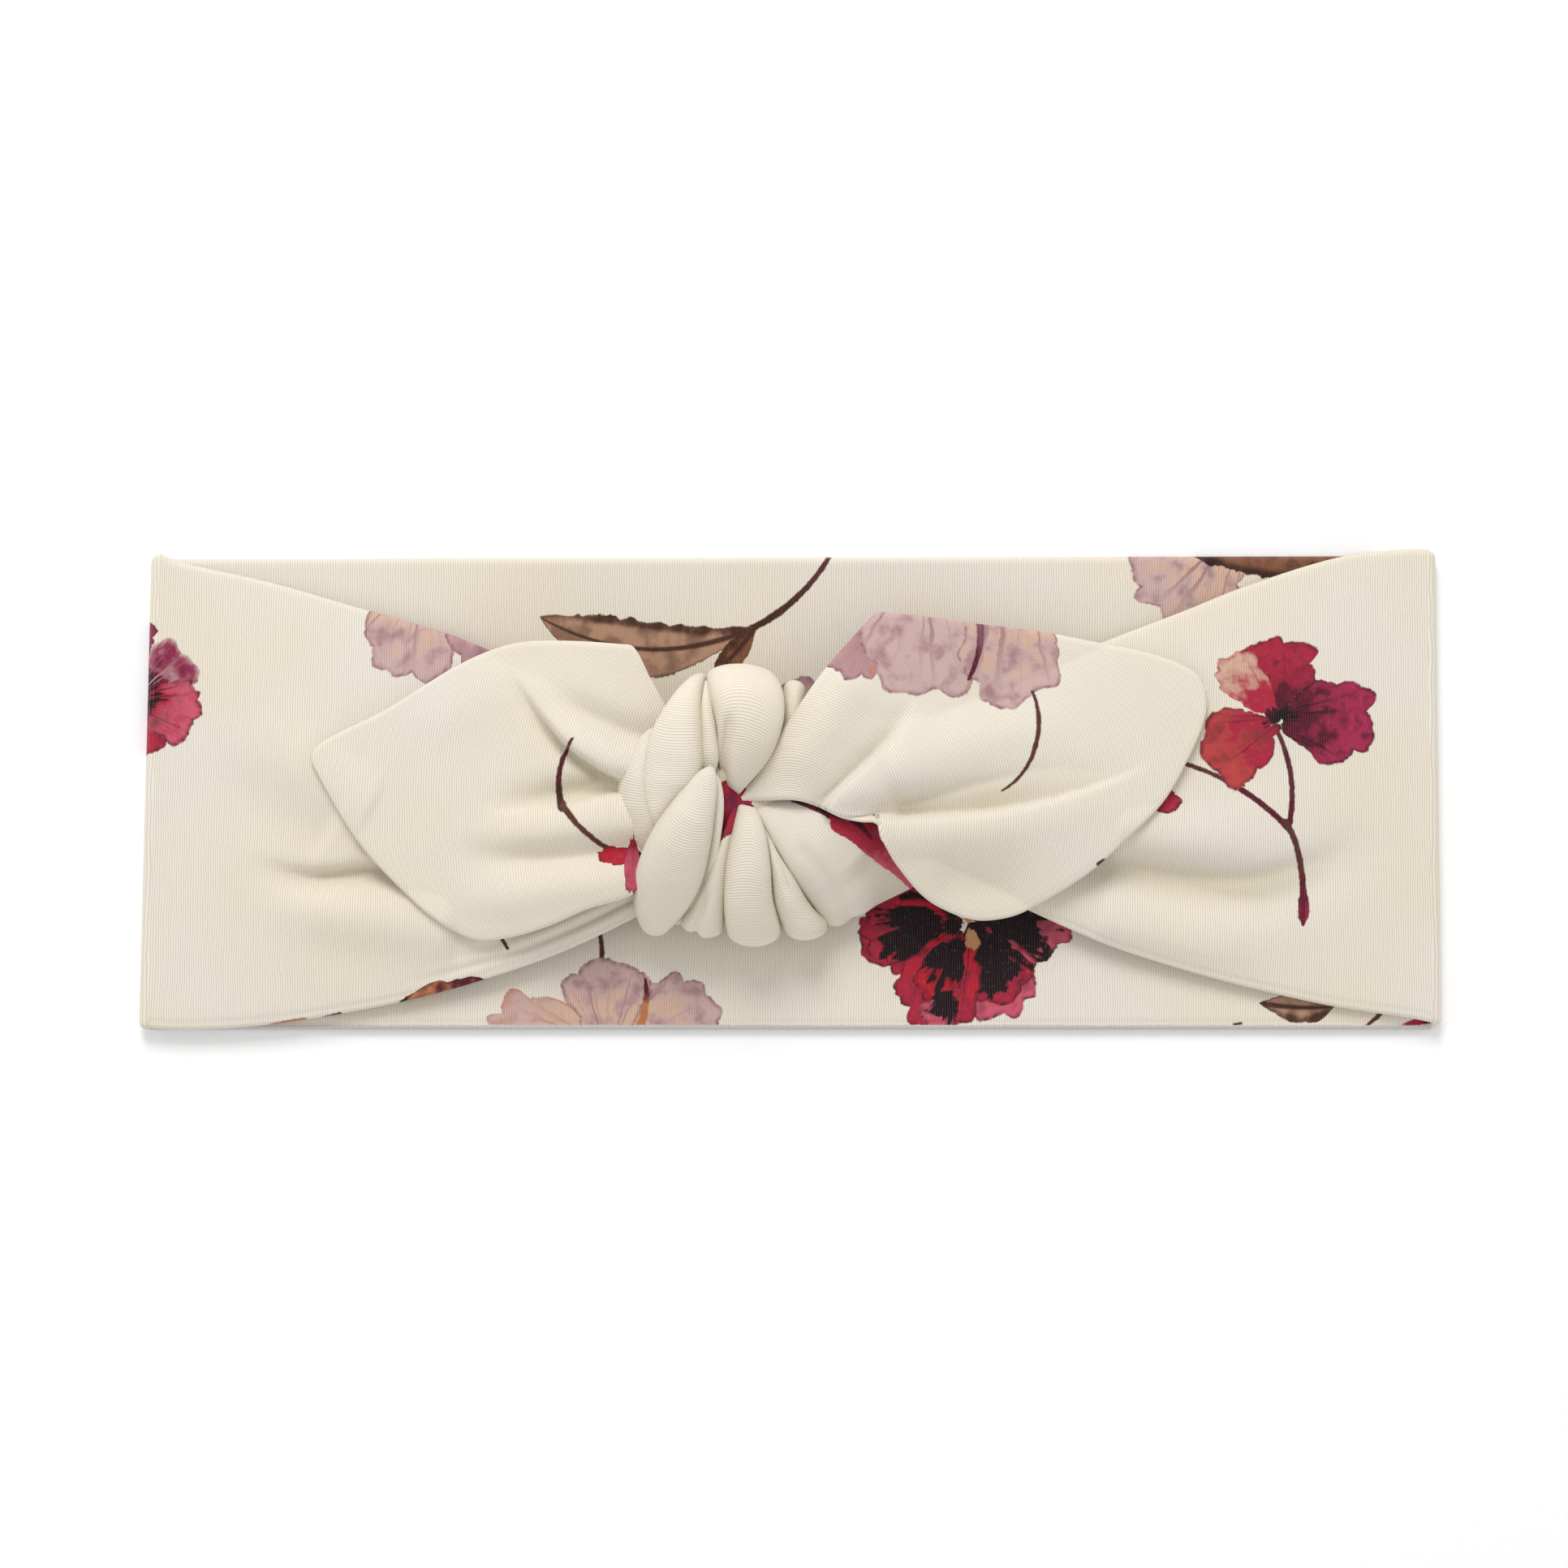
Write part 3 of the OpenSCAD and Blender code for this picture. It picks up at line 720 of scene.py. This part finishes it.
class Wire:
    """A value in a shader, for use in ordinary sums."""

    def __init__(self, tree, socket):
        self.tree, self.socket = tree, socket

    def calc(self, operation, *others):
        return add_node(self.tree, "Math", dict(enumerate((self, *others))), operation=operation)

    def __add__(self, other):
        return self.calc("ADD", other)

    def __sub__(self, other):
        return self.calc("SUBTRACT", other)

    def __mul__(self, other):
        return self.calc("MULTIPLY", other)

    def __truediv__(self, other):
        return self.calc("DIVIDE", other)

    __radd__, __rmul__ = __add__, __mul__

    def __rsub__(self, other):
        return self.calc("MULTIPLY", -1.0).calc("ADD", other)

    def soft(self, low, high):
        """0 at low, 1 at high, smooth between; low may be the larger."""
        falls = float(low > high)
        inputs = {0: self, 1: min(low, high), 2: max(low, high), 3: falls, 4: 1 - falls}
        return add_node(self.tree, "MapRange", inputs, interpolation_type="SMOOTHSTEP")


def blend_colors(share, a, b, mode="MIX"):
    """Colour a, with that share of colour b over it."""
    return add_node(share.tree, "Mix", {0: share, 6: a, 7: b}, 2, data_type="RGBA", blend_type=mode)


def speckle(place, size, detail):
    """Noise with spots about that many millimetres across."""
    fit = add_node(place.tree, "Mapping", {"Vector": place, "Scale": (1 / size, 1 / size, 1)})
    return add_node(place.tree, "TexNoise", {"Vector": fit, "Scale": 1.0, "Detail": detail},
                    noise_dimensions="2D")


def wavering(value, scale):
    """Noise along one value."""
    return add_node(value.tree, "TexNoise", {"W": value, "Scale": scale, "Detail": 1.0},
                    noise_dimensions="1D")


def split(place):
    """X and y of a place."""
    node = place.tree.nodes.new("ShaderNodeSeparateXYZ")
    feed(place.tree, place, node.inputs[0])
    return Wire(place.tree, node.outputs[0]), Wire(place.tree, node.outputs[1])


# ---- the print ----


def start_group(name, numbers, colors):
    """A node group that paints one shape of the print over the cloth it is given."""
    tree = bpy.data.node_groups.new(name, "ShaderNodeTree")
    tree.interface.new_socket("plan", in_out="INPUT", socket_type="NodeSocketVector")
    for label in numbers + ["wash", "grain"]:
        tree.interface.new_socket(label, in_out="INPUT", socket_type="NodeSocketFloat")
    for label in colors + ["cloth"]:
        tree.interface.new_socket(label, in_out="INPUT", socket_type="NodeSocketColor")
    tree.interface.new_socket("color", in_out="OUTPUT", socket_type="NodeSocketColor")
    start = tree.nodes.new("NodeGroupInput")
    return tree, {socket.name: Wire(tree, socket) for socket in start.outputs if socket.name}


def end_group(tree, color):
    """Give the group its result."""
    end = tree.nodes.new("NodeGroupOutput")
    tree.links.new(color.socket, end.inputs["color"])
    return tree


def petal_group():
    """A round petal with a wavy edge, washed from its base colour to its tip colour."""
    tree, g = start_group("petal", ["x", "y", "turn", "length", "spread", "dark", "seed"],
                          ["base", "tip", "shade"])
    x, y = split(g["plan"])
    dx, dy = x - g["x"], y - g["y"]
    cosine, sine = g["turn"].calc("COSINE"), g["turn"].calc("SINE")
    out, off = (dx * cosine + dy * sine) / g["length"], (dy * cosine - dx * sine) / g["length"]
    share = (out * out + off * off).calc("SQRT")
    fuller = out.calc("MAXIMUM", 0.0).calc("MINIMUM", 1.0) * 0.62 + 0.62
    across = off / (g["spread"].calc("SINE") * 0.76 * fuller)
    along = (out - 0.53) * 2
    round_it = across.calc("ARCTAN2", along)
    wavy = wavering(round_it * 1.5 + g["seed"], 1.0)
    fine = wavering(round_it * 3.6 + g["seed"] * 3.1, 1.0)
    notches = (round_it * 2.7 + wavy * 4 + g["seed"]).calc("SINE").calc("ABSOLUTE")
    reach = 0.61 + 0.40 * wavy + 0.08 * fine + 0.15 * notches
    edge = (reach - (along * along + across * across).calc("SQRT")) * g["length"] * 0.42
    edge = edge + (g["grain"] - 0.5) * 0.3
    vein = wavering(off.calc("ARCTAN2", out + 0.12) * 11 + g["seed"] * 1.7 + g["wash"] * 0.9, 1.0)
    color = blend_colors((share + (g["wash"] - 0.5) * 1.7).soft(0.25, 0.8), g["base"], g["tip"])
    rim = edge.soft(0.9, 0.1) * (g["grain"] * 1.4 + 0.1) * (vein.soft(0.3, 0.6) * 0.7 + 0.3)
    veins = vein.soft(0.54, 0.70) * share.soft(1.1, 0.3) * 0.7
    mottle = g["wash"].soft(0.44, 0.80) * 0.6
    marks = rim.calc("MAXIMUM", veins).calc("MAXIMUM", mottle).calc("MINIMUM", 1.0)
    color = blend_colors(marks, color, g["shade"])
    past_blot = share - g["dark"] + (vein - 0.5) * 0.4 + (g["wash"] - 0.5) * 0.8
    blot = past_blot.soft(0.06, -0.06) * g["dark"].soft(0.0, 0.05)
    color = blend_colors(blot, color, BLOT)
    return end_group(tree, blend_colors(edge.soft(-0.06, 0.22), g["cloth"], color))


def leaf_frame(g):
    """Share along a bent line, the distance across from it, and its length, in millimetres."""
    x, y = split(g["plan"])
    ax, ay = g["x2"] - g["x"], g["y2"] - g["y"]
    length = (ax * ax + ay * ay).calc("SQRT")
    dx, dy = x - g["x"], y - g["y"]
    along = (dx * ax + dy * ay) / (length * length)
    across = (dy * ax - dx * ay) / length - g["bend"] * 4 * along * (1 - along)
    return along, across, length


def leaf_group():
    """A pointed leaf with a dark upper side and midrib."""
    tree, g = start_group("leaf", ["x", "y", "x2", "y2", "bend", "width"], ["light", "shade"])
    along, across, length = leaf_frame(g)
    fuller = along.calc("MAXIMUM", 0.0).calc("POWER", 1.3)
    inside = (4 * fuller * (1 - fuller)).calc("MAXIMUM", 0.0).calc("POWER", 0.8)
    half = g["width"] * 0.5 * inside * (0.9 + (g["wash"] - 0.5) * 0.5)
    edge = half - across.calc("ABSOLUTE") + (g["grain"] - 0.5) * 0.4
    edge = edge.calc("MINIMUM", (along * length).calc("MINIMUM", (1 - along) * length) * 0.8)
    rib = (across.calc("ABSOLUTE") + along * 0.3).soft(0.75, 0.25)
    upper = (across * -1 - half).calc("ADD", 2.2 + (g["wash"] - 0.5) * 3).soft(0.4, 1.6)
    upper = upper * (g["wash"] * 0.8 + 0.45)
    color = blend_colors((g["wash"] - 0.2).soft(0.2, 0.5) * 0.5, g["light"], g["shade"])
    marks = rib.calc("MAXIMUM", upper).calc("MAXIMUM", edge.soft(0.5, 0.1) * 0.7)
    color = blend_colors(marks.calc("MINIMUM", 0.95), color, g["shade"])
    return end_group(tree, blend_colors(edge.soft(-0.06, 0.2), g["cloth"], color))


def stroke_group():
    """A brush stroke, for stems."""
    tree, g = start_group("stroke", ["x", "y", "x2", "y2", "bend", "width", "width2"], ["ink", "ink2"])
    along, across, length = leaf_frame(g)
    half = (g["width"] + (g["width2"] - g["width"]) * along) * 0.5 * (0.75 + g["wash"] * 0.5)
    past = (along * -1).calc("MAXIMUM", along - 1).calc("MAXIMUM", 0.0) * length
    edge = half - (across * across + past * past).calc("SQRT") + (g["grain"] - 0.5) * 0.25
    color = blend_colors(((g["wash"] - 0.5) * 1.6 + along).soft(0.2, 0.8), g["ink"], g["ink2"])
    return end_group(tree, blend_colors(edge.soft(-0.1, 0.16), g["cloth"], color))


SHAPES = {"petal": petal_group(), "leaf": leaf_group(), "stroke": stroke_group()}


def petal(x, y, turn, length, spread, base, tip, shade, dark=0.0, seed=0.0):
    """A petal from x, y towards turn, in degrees. dark is how far its blot reaches."""
    return "petal", dict(x=x, y=y, turn=math.radians(turn), length=length, spread=math.radians(spread),
                         dark=dark, seed=seed, base=base, tip=tip, shade=shade)


def leaf(x, y, x2, y2, bend, width, light, shade):
    """A leaf from its stem at x, y to its point at x2, y2."""
    return "leaf", dict(x=x, y=y, x2=x2, y2=y2, bend=bend, width=width, light=light, shade=shade)


def stroke(x, y, x2, y2, bend, width, width2, ink, ink2):
    """A stroke whose width and ink change from its start to its end."""
    return "stroke", dict(x=x, y=y, x2=x2, y2=y2, bend=bend, width=width, width2=width2,
                          ink=ink, ink2=ink2)


BACK_PRINT = [
    stroke(-5.6, 24.9, 6.6, 36.6, -1.3, 1.3, 0.8, UMBER, STEM),
    leaf(-4.6, 25.4, -38.6, 26.6, 4.4, 9.8, LEAF_TAN, UMBER),
    leaf(-5, 25.2, -11.6, 17.6, 0.2, 4.4, BROWN, UMBER),
    petal(2.4, 9.8, 92, 7.6, 40, LILAC, MAUVE, PLUM, seed=3),
    petal(69, 40, 228, 18, 44, PEACH, LILAC, PLUM, seed=8.3),
    leaf(56, 38.4, 94, 38.8, -0.4, 13, BROWN, INK),
    stroke(-29.3, -22, -29.2, -28, 0.3, 0.8, 0.9, STEM, UMBER),
    petal(-27.6, -40.5, 161, 18.8, 22, PEACH, LILAC, ORANGE, seed=1.2),
    petal(-27.8, -40.5, 24, 18.4, 31, PEACH, LILAC, PLUM, seed=5.1),
    petal(-28, -40, 92, 13.8, 42, PEACH, LILAC, PLUM, seed=2.6),
    stroke(-23.4, -37.4, -22.2, -29.4, -0.6, 1.6, 0.6, ORANGE, WINE),
    petal(27.4, -20.4, 150, 12.4, 44, WINE, CRIMSON, INK, dark=0.75, seed=4.4),
    petal(27.4, -20.2, -10, 16.2, 23, WINE, PINK, INK, dark=0.80, seed=6),
    petal(27.8, -20.6, 190, 17.2, 29, RED, CRIMSON, INK, dark=0.22, seed=2.2),
    petal(24.6, -20, 196, 13.6, 27, RED, CRIMSON, INK, dark=0.78, seed=8.2),
    petal(27.6, -20.6, 297, 15.6, 34, CRIMSON, PINK, INK, dark=0.22, seed=7.7),
    petal(28, -21.6, 300, 12.8, 36, CRIMSON, CRIMSON, INK, dark=0.80, seed=3.1),
    petal(27.6, -20.8, 246, 17.6, 31, RED, CRIMSON, INK, dark=0.16, seed=9.1),
    petal(26.9, -22.6, 238, 11, 26, RED, RED, INK, dark=0.72, seed=7.7),
    petal(25.4, -30.8, 240, 7.6, 34, WINE, PINK, INK, dark=0.62, seed=6.1),
    petal(27.4, -20.8, 70, 2.8, 40, TAN, TAN, ORANGE, seed=1),
    petal(27.8, -21.2, 282, 3.8, 26, TAN, TAN, ORANGE, seed=6),
    leaf(72.4, -33, 84.2, -33.6, -0.4, 5.6, LEAF_TAN, UMBER),
    stroke(92.2, -33.6, 88.6, -37, 0.2, 0.8, 0.6, STEM, STEM),
    stroke(94.8, -36.9, 98.9, -35.6, 0.2, 1.2, 1.4, CRIMSON, WINE),
    stroke(68.9, -36.4, 69.8, -36.2, 0, 0.7, 0.5, UMBER, UMBER),
    # A painted shade strip along the back's rolled lower edge.
    stroke(-99, -37, 99, -37, 0, 1.2, 1.2, ROLLED_EDGE_SHADE, ROLLED_EDGE_SHADE),
]
LEFT_PRINT = [
    petal(-106, 26, -30, 9, 34, CRIMSON, MAGENTA, WINE, seed=0.4),
    petal(-100.6, 14, -72, 8.8, 36, CRIMSON, CRIMSON, WINE, dark=0.2, seed=2),
    petal(-101.4, 13.6, 34, 11.4, 40, WINE, MAGENTA, LILAC, dark=0.30, seed=3.5),
    petal(-101.4, 13.4, -12, 11, 40, CRIMSON, PINK, INK, dark=0.3, seed=5.8),
    petal(-56.6, 34, -97, 17.2, 37, PEACH, LILAC, PLUM, seed=4),
    petal(-49.4, 33, -84, 14.4, 24, LILAC, MAUVE, PLUM, seed=6.6),
    stroke(-83, -38.2, -74.6, -35.6, 0.3, 1.8, 1, WINE, ORANGE),
    stroke(-71.4, -35.4, -69.2, -34.6, 0, 1, 0.8, UMBER, UMBER),
    petal(-62.5, -34.4, 13, 17, 14, ORANGE, WINE, INK, dark=0.2, seed=1.5),
    stroke(-44.6, -22, -43.2, -24.4, 0, 0.8, 0.6, STEM, UMBER),
]
RIGHT_PRINT = [
    stroke(74.6, 9.6, 76.8, -5.2, 1.3, 0.8, 1, STEM, WINE),
    stroke(58, 4.6, 76.6, -6, 1.6, 0.7, 1.1, STEM, WINE),
    stroke(76.2, -5, 79.1, -17, 0.9, 1.1, 1.1, STEM, WINE),
    leaf(79.2, -14.4, 79, -21.2, 0, 2.2, CRIMSON, WINE),
    petal(52.6, -1, -9, 7.6, 19, CRIMSON, CRIMSON, INK, dark=0.3, seed=2.5),
    petal(67.4, 0.6, 20, 2.6, 40, CRIMSON, CRIMSON, WINE, seed=1.4),
    petal(76, 9.4, 102, 13.6, 47, WINE, CRIMSON, WINE, dark=0.20, seed=1.8),
    petal(74.4, 11.4, 130, 12, 25, CRIMSON, PEACH, CRIMSON, seed=5.6),
    petal(75.2, 10.4, 209, 13, 40, CRIMSON, SALMON, WINE, dark=0.08, seed=3.3),
    petal(74.4, 11, -3, 15.6, 36, WINE, ROSE, INK, dark=0.10, seed=6.9),
]
LEFT_TAIL_PRINT = [
    stroke(-32.8, 7.6, -34.6, -2.8, -1.2, 0.6, 1.2, WINE, UMBER),
    stroke(-34.4, -2.2, -25.6, -10, -0.8, 1, 0.9, STEM, UMBER),
    petal(-21.4, -9.9, 182, 7.6, 15, CRIMSON, RED, WINE, dark=0.3, seed=2),
    petal(-23.6, -6.4, 268, 9.4, 10, CRIMSON, PINK, WINE, seed=4),
]
RIGHT_TAIL_PRINT = [
    petal(18.6, 30.8, 226, 18, 24, ORANGE, MAUVE, PLUM, seed=5.2),
    petal(21.2, 36, 266, 22, 36, LILAC, LILAC, PLUM, seed=3.7),
    petal(34.4, 36, 268, 23.4, 27, PEACH, LILAC, PLUM, seed=9.4),
    stroke(28.8, 27.4, 27.4, 16.8, 1, 1.4, 0.7, PLUM, WINE),
    stroke(37.2, 14.8, 37.4, 6.4, 0.7, 0.6, 0.9, STEM, STEM),
    stroke(37.4, 6.6, 32.4, -0.2, 0.9, 0.9, 0.4, STEM, STEM),
    stroke(47.2, -11.4, 48, -10.8, 0, 0.8, 0.6, UMBER, UMBER),
]
KNOT_PRINT = {
    "knot_core_cloth": [petal(-7, 1.8, 242, 11, 42, CRIMSON, MAGENTA, WINE, seed=1)],
    "knot_fan_a_cloth": [petal(-7.2, 1.4, 250, 9.6, 12, CRIMSON, CRIMSON, WINE, seed=3)],
    "knot_right_lobe_cloth": [
        stroke(0.6, -1.5, 9.8, -5, 0.5, 1, 4.2, WINE, CRIMSON),
        stroke(11.6, -4.6, 14.2, -8.6, 0, 4, 3.4, MAGENTA, WINE),
        stroke(8.8, -4.8, 20.4, -15.8, 0.3, 5, 1.6, CRIMSON, PINK),
        # The next ink line is partly the print's dark mottle and partly painted shade of the gap between
        # the lobe and the tail.
        stroke(4.4, -2.9, 7.2, -4, 0.2, 0.8, 1, INK, WINE),
        stroke(9.6, -4.6, 12.4, -7.4, 0.2, 1.1, 0.5, INK, WINE),
    ],
}


# ---- the jersey ----

JERSEY_SURFACE = {
    "Roughness": 0.92, "Specular IOR Level": 0.12, "Sheen Weight": 0.18, "Sheen Roughness": 0.5}


def printed_jersey(name, motifs):
    """Cream jersey knit with shapes of the print painted on it, and painted shade in its folds and
    between its ribs.
    """
    material = bpy.data.materials.new(name)
    material.use_nodes = True
    tree = material.node_tree
    shader = tree.nodes["Principled BSDF"]

    fabric, plan = [add_node(tree, "UVMap", {}, uv_map=label) for label in ("fabric", "plan")]
    wander = speckle(fabric, 6.0, 1.0)
    along, over = split(fabric)
    wale = (along / WALE + wander * 0.7).calc("FRACT") - 0.5
    side = wale.calc("ABSOLUTE")
    ridge = 1 - ((side - 0.25) * 4) * ((side - 0.25) * 4)
    course = (over / COURSE + side * 1.2).calc("FRACT") * 2 - 1
    stitch = ridge * (0.62 + 0.38 * (1 - 0.6 * course * course))
    wash = speckle(plan, 3.2, 3.0)
    grain = speckle(plan, 0.7, 2.0)
    soft_tone = speckle(plan, 26.0, 1.0)
    color = blend_colors(soft_tone.soft(0.3, 0.7), WHITE, WARM_WHITE)
    # Painted shade: the cloth's colour goes towards FOLD_SHADE where the crease attribute is high, in
    # folds and deep places.
    crease = add_node(tree, "Attribute", {}, "Fac", attribute_name="crease")
    color = blend_colors(crease.soft(0.2, 1.5), color, FOLD_SHADE)
    for kind, values in motifs:
        inputs = dict(values, plan=plan, wash=wash, grain=grain, cloth=color)
        color = add_node(tree, "Group", inputs, "color", node_tree=SHAPES[kind])
    # Painted shade between the knit's ribs: the colour is multiplied towards STITCH_SHADE where the rib
    # is low.
    between_ribs = stitch.soft(0.72, 0.05) * (0.55 + 0.45 * grain)
    color = blend_colors(between_ribs, color, STITCH_SHADE, "MULTIPLY")
    if motifs:
        color = blend_colors(stitch.soft(0.5, 0.0) * 0.07 + grain.soft(0.6, 0.8) * 0.04, color, WHITE)
    tree.links.new(color.socket, shader.inputs["Base Color"])
    for label, value in JERSEY_SURFACE.items():
        shader.inputs[label].default_value = value
    height = stitch + grain * 0.25
    bump = add_node(tree, "Bump", {"Strength": 0.55, "Distance": 0.00010, "Height": height})
    tree.links.new(bump.socket, shader.inputs["Normal"])
    return material


# ---- the pieces ----

made = [make_back("back_cloth_left", -1), make_back("back_cloth_right", 1),
        make_fold("left_fold_cloth", LEFT_ARM), make_fold("right_fold_cloth", RIGHT_ARM),
        make_arm("front_left_cloth", LEFT_ARM), make_arm("front_right_cloth", RIGHT_ARM),
        make_tail("left_tail_cloth", **LEFT_TAIL), make_tail("right_tail_cloth", **RIGHT_TAIL),
        make_core(), make_root()]
made += [lobe(name + "_cloth", **shape) for name, shape in LOBES.items()]
pieces = {piece.name: piece for piece in made}

jerseys = {name: printed_jersey("jersey_" + name, motifs) for name, motifs in KNOT_PRINT.items()}
for label, motifs, wearers in (
        ("back", BACK_PRINT, ["back_cloth_left", "back_cloth_right"]),
        ("left", LEFT_PRINT, ["left_fold_cloth", "front_left_cloth"]),
        ("right", RIGHT_PRINT, ["right_fold_cloth", "front_right_cloth"]),
        ("left_tail", LEFT_TAIL_PRINT, ["left_tail_cloth"]),
        ("right_tail", RIGHT_TAIL_PRINT, ["right_tail_cloth"])):
    jerseys.update(dict.fromkeys(wearers, printed_jersey("jersey_" + label, motifs)))
plain_jersey = printed_jersey("jersey_plain", [])
for name, piece in pieces.items():
    piece.data.materials.append(jerseys.get(name, plain_jersey))


def layers(name, face="outer"):
    """The CAD nodes of one stretch of the strap."""
    return [f"{name}_{part}" for part in (face, "lining", "seam")]


def mm(*values):
    """Millimetres as metres."""
    return tuple(v * MM for v in values)


FOLD_BEND = mm(0, 0, 0.2), mm(0, 0, 2.9)
# For each piece: the two bodies it lies between, and where a bend between them would start and end.
# Nothing here sets up the bend; below, only the keys are read, to leave these pieces attached to no body.
BENDS = {
    "back_cloth_left": ("back_middle", "back_left", mm(-10, 0, BACK_TOP), mm(-44, 0, BACK_TOP)),
    "back_cloth_right": ("back_middle", "back_right", mm(10, 0, BACK_TOP), mm(44, 0, BACK_TOP)),
    "left_fold_cloth": ("back_left", "front_left", *FOLD_BEND),
    "right_fold_cloth": ("back_right", "front_right", *FOLD_BEND),
    "front_left_cloth": ("front_left", "knot", mm(-40, 0, 0), mm(-20, 0, 0)),
    "left_tail_cloth": ("left_tail", "knot", mm(-LEFT_HINGE_X - 10, 0, 0), mm(-LEFT_HINGE_X + 1, 0, 0)),
    "right_tail_cloth": ("right_tail", "knot", mm(RIGHT_HINGE_X + 10, 0, 0), mm(RIGHT_HINGE_X - 4, 0, 0)),
}
STANDS_FOR = {
    "back_cloth_left": layers("back_middle") + layers("back_left"),
    "back_cloth_right": layers("back_right"),
    "left_fold_cloth": ["left_fold_outer", "left_fold_lining"],
    "right_fold_cloth": ["right_fold_outer", "right_fold_lining"],
    "front_left_cloth": layers("front_left"),
    "front_right_cloth": layers("front_right"),
    "left_tail_cloth": layers("left_tail", "face"),
    "right_tail_cloth": layers("right_tail", "face") + ["knot_tail_root"],
    "knot_fan_b_cloth": ["knot_fan_pleats"],
}
for name in ("core", "left_wrap", "top_lobe", "diagonal_wrap", "right_lobe"):
    STANDS_FOR[f"knot_{name}_cloth"] = [f"knot_{name}"]
for name, piece in pieces.items():
    if name in BENDS:
        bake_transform(piece)
    elif name == "front_right_cloth":
        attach(piece, "front_right")
    else:
        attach(piece, "knot")
    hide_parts(*STANDS_FOR.get(name, []))

# ---- camera, light and floor ----

PICTURE_WIDTH = 241.5
LENS, SENSOR = 85, 36
camera_data = bpy.data.cameras.new("camera")
camera_data.lens = LENS
camera_data.sensor_width = SENSOR
camera = add_object("camera", camera_data)
camera.location = mm(-0.81, 0.8, PICTURE_WIDTH * LENS / SENSOR + 3)
bpy.context.scene.camera = camera

world = bpy.data.worlds.new("studio")
world.use_nodes = True
sky = world.node_tree.nodes["Background"]
sky.inputs["Color"].default_value = (1.0, 1.0, 1.0, 1)
sky.inputs["Strength"].default_value = 0.56
bpy.context.scene.world = world
bpy.context.scene.view_settings.view_transform = "Standard"


def soft_light(name, place, size, energy):
    """A round lamp that faces the object; place and size are in metres."""
    data = bpy.data.lights.new(name, "AREA")
    data.shape = "DISK"
    data.size = size
    data.energy = energy
    light = add_object(name, data)
    light.location = place
    light.rotation_euler = (-light.location).to_track_quat("-Z", "Y").to_euler()


soft_light("key", (-0.12, 0.78, 0.70), 0.5, 6.4)
soft_light("low_fill", (0.1, -0.85, 0.4), 0.6, 1.3)
soft_light("left_fill", (-0.9, 0.1, 0.45), 0.6, 1.2)
soft_light("right_fill", (0.9, 0.1, 0.45), 0.6, 0.9)

floor_mesh = bpy.data.meshes.new("floor")
floor_mesh.from_pydata([(-3, -3, 0), (3, -3, 0), (3, 3, 0), (-3, 3, 0)], [], [(0, 1, 2, 3)])
floor = add_object("floor", floor_mesh)
floor.location.z = -0.0002
paper = bpy.data.materials.new("paper")
paper.use_nodes = True
paper_shader = paper.node_tree.nodes["Principled BSDF"]
paper_shader.inputs["Base Color"].default_value = (1.0, 1.0, 1.0, 1)
paper_shader.inputs["Roughness"].default_value = 0.9
floor_mesh.materials.append(paper)
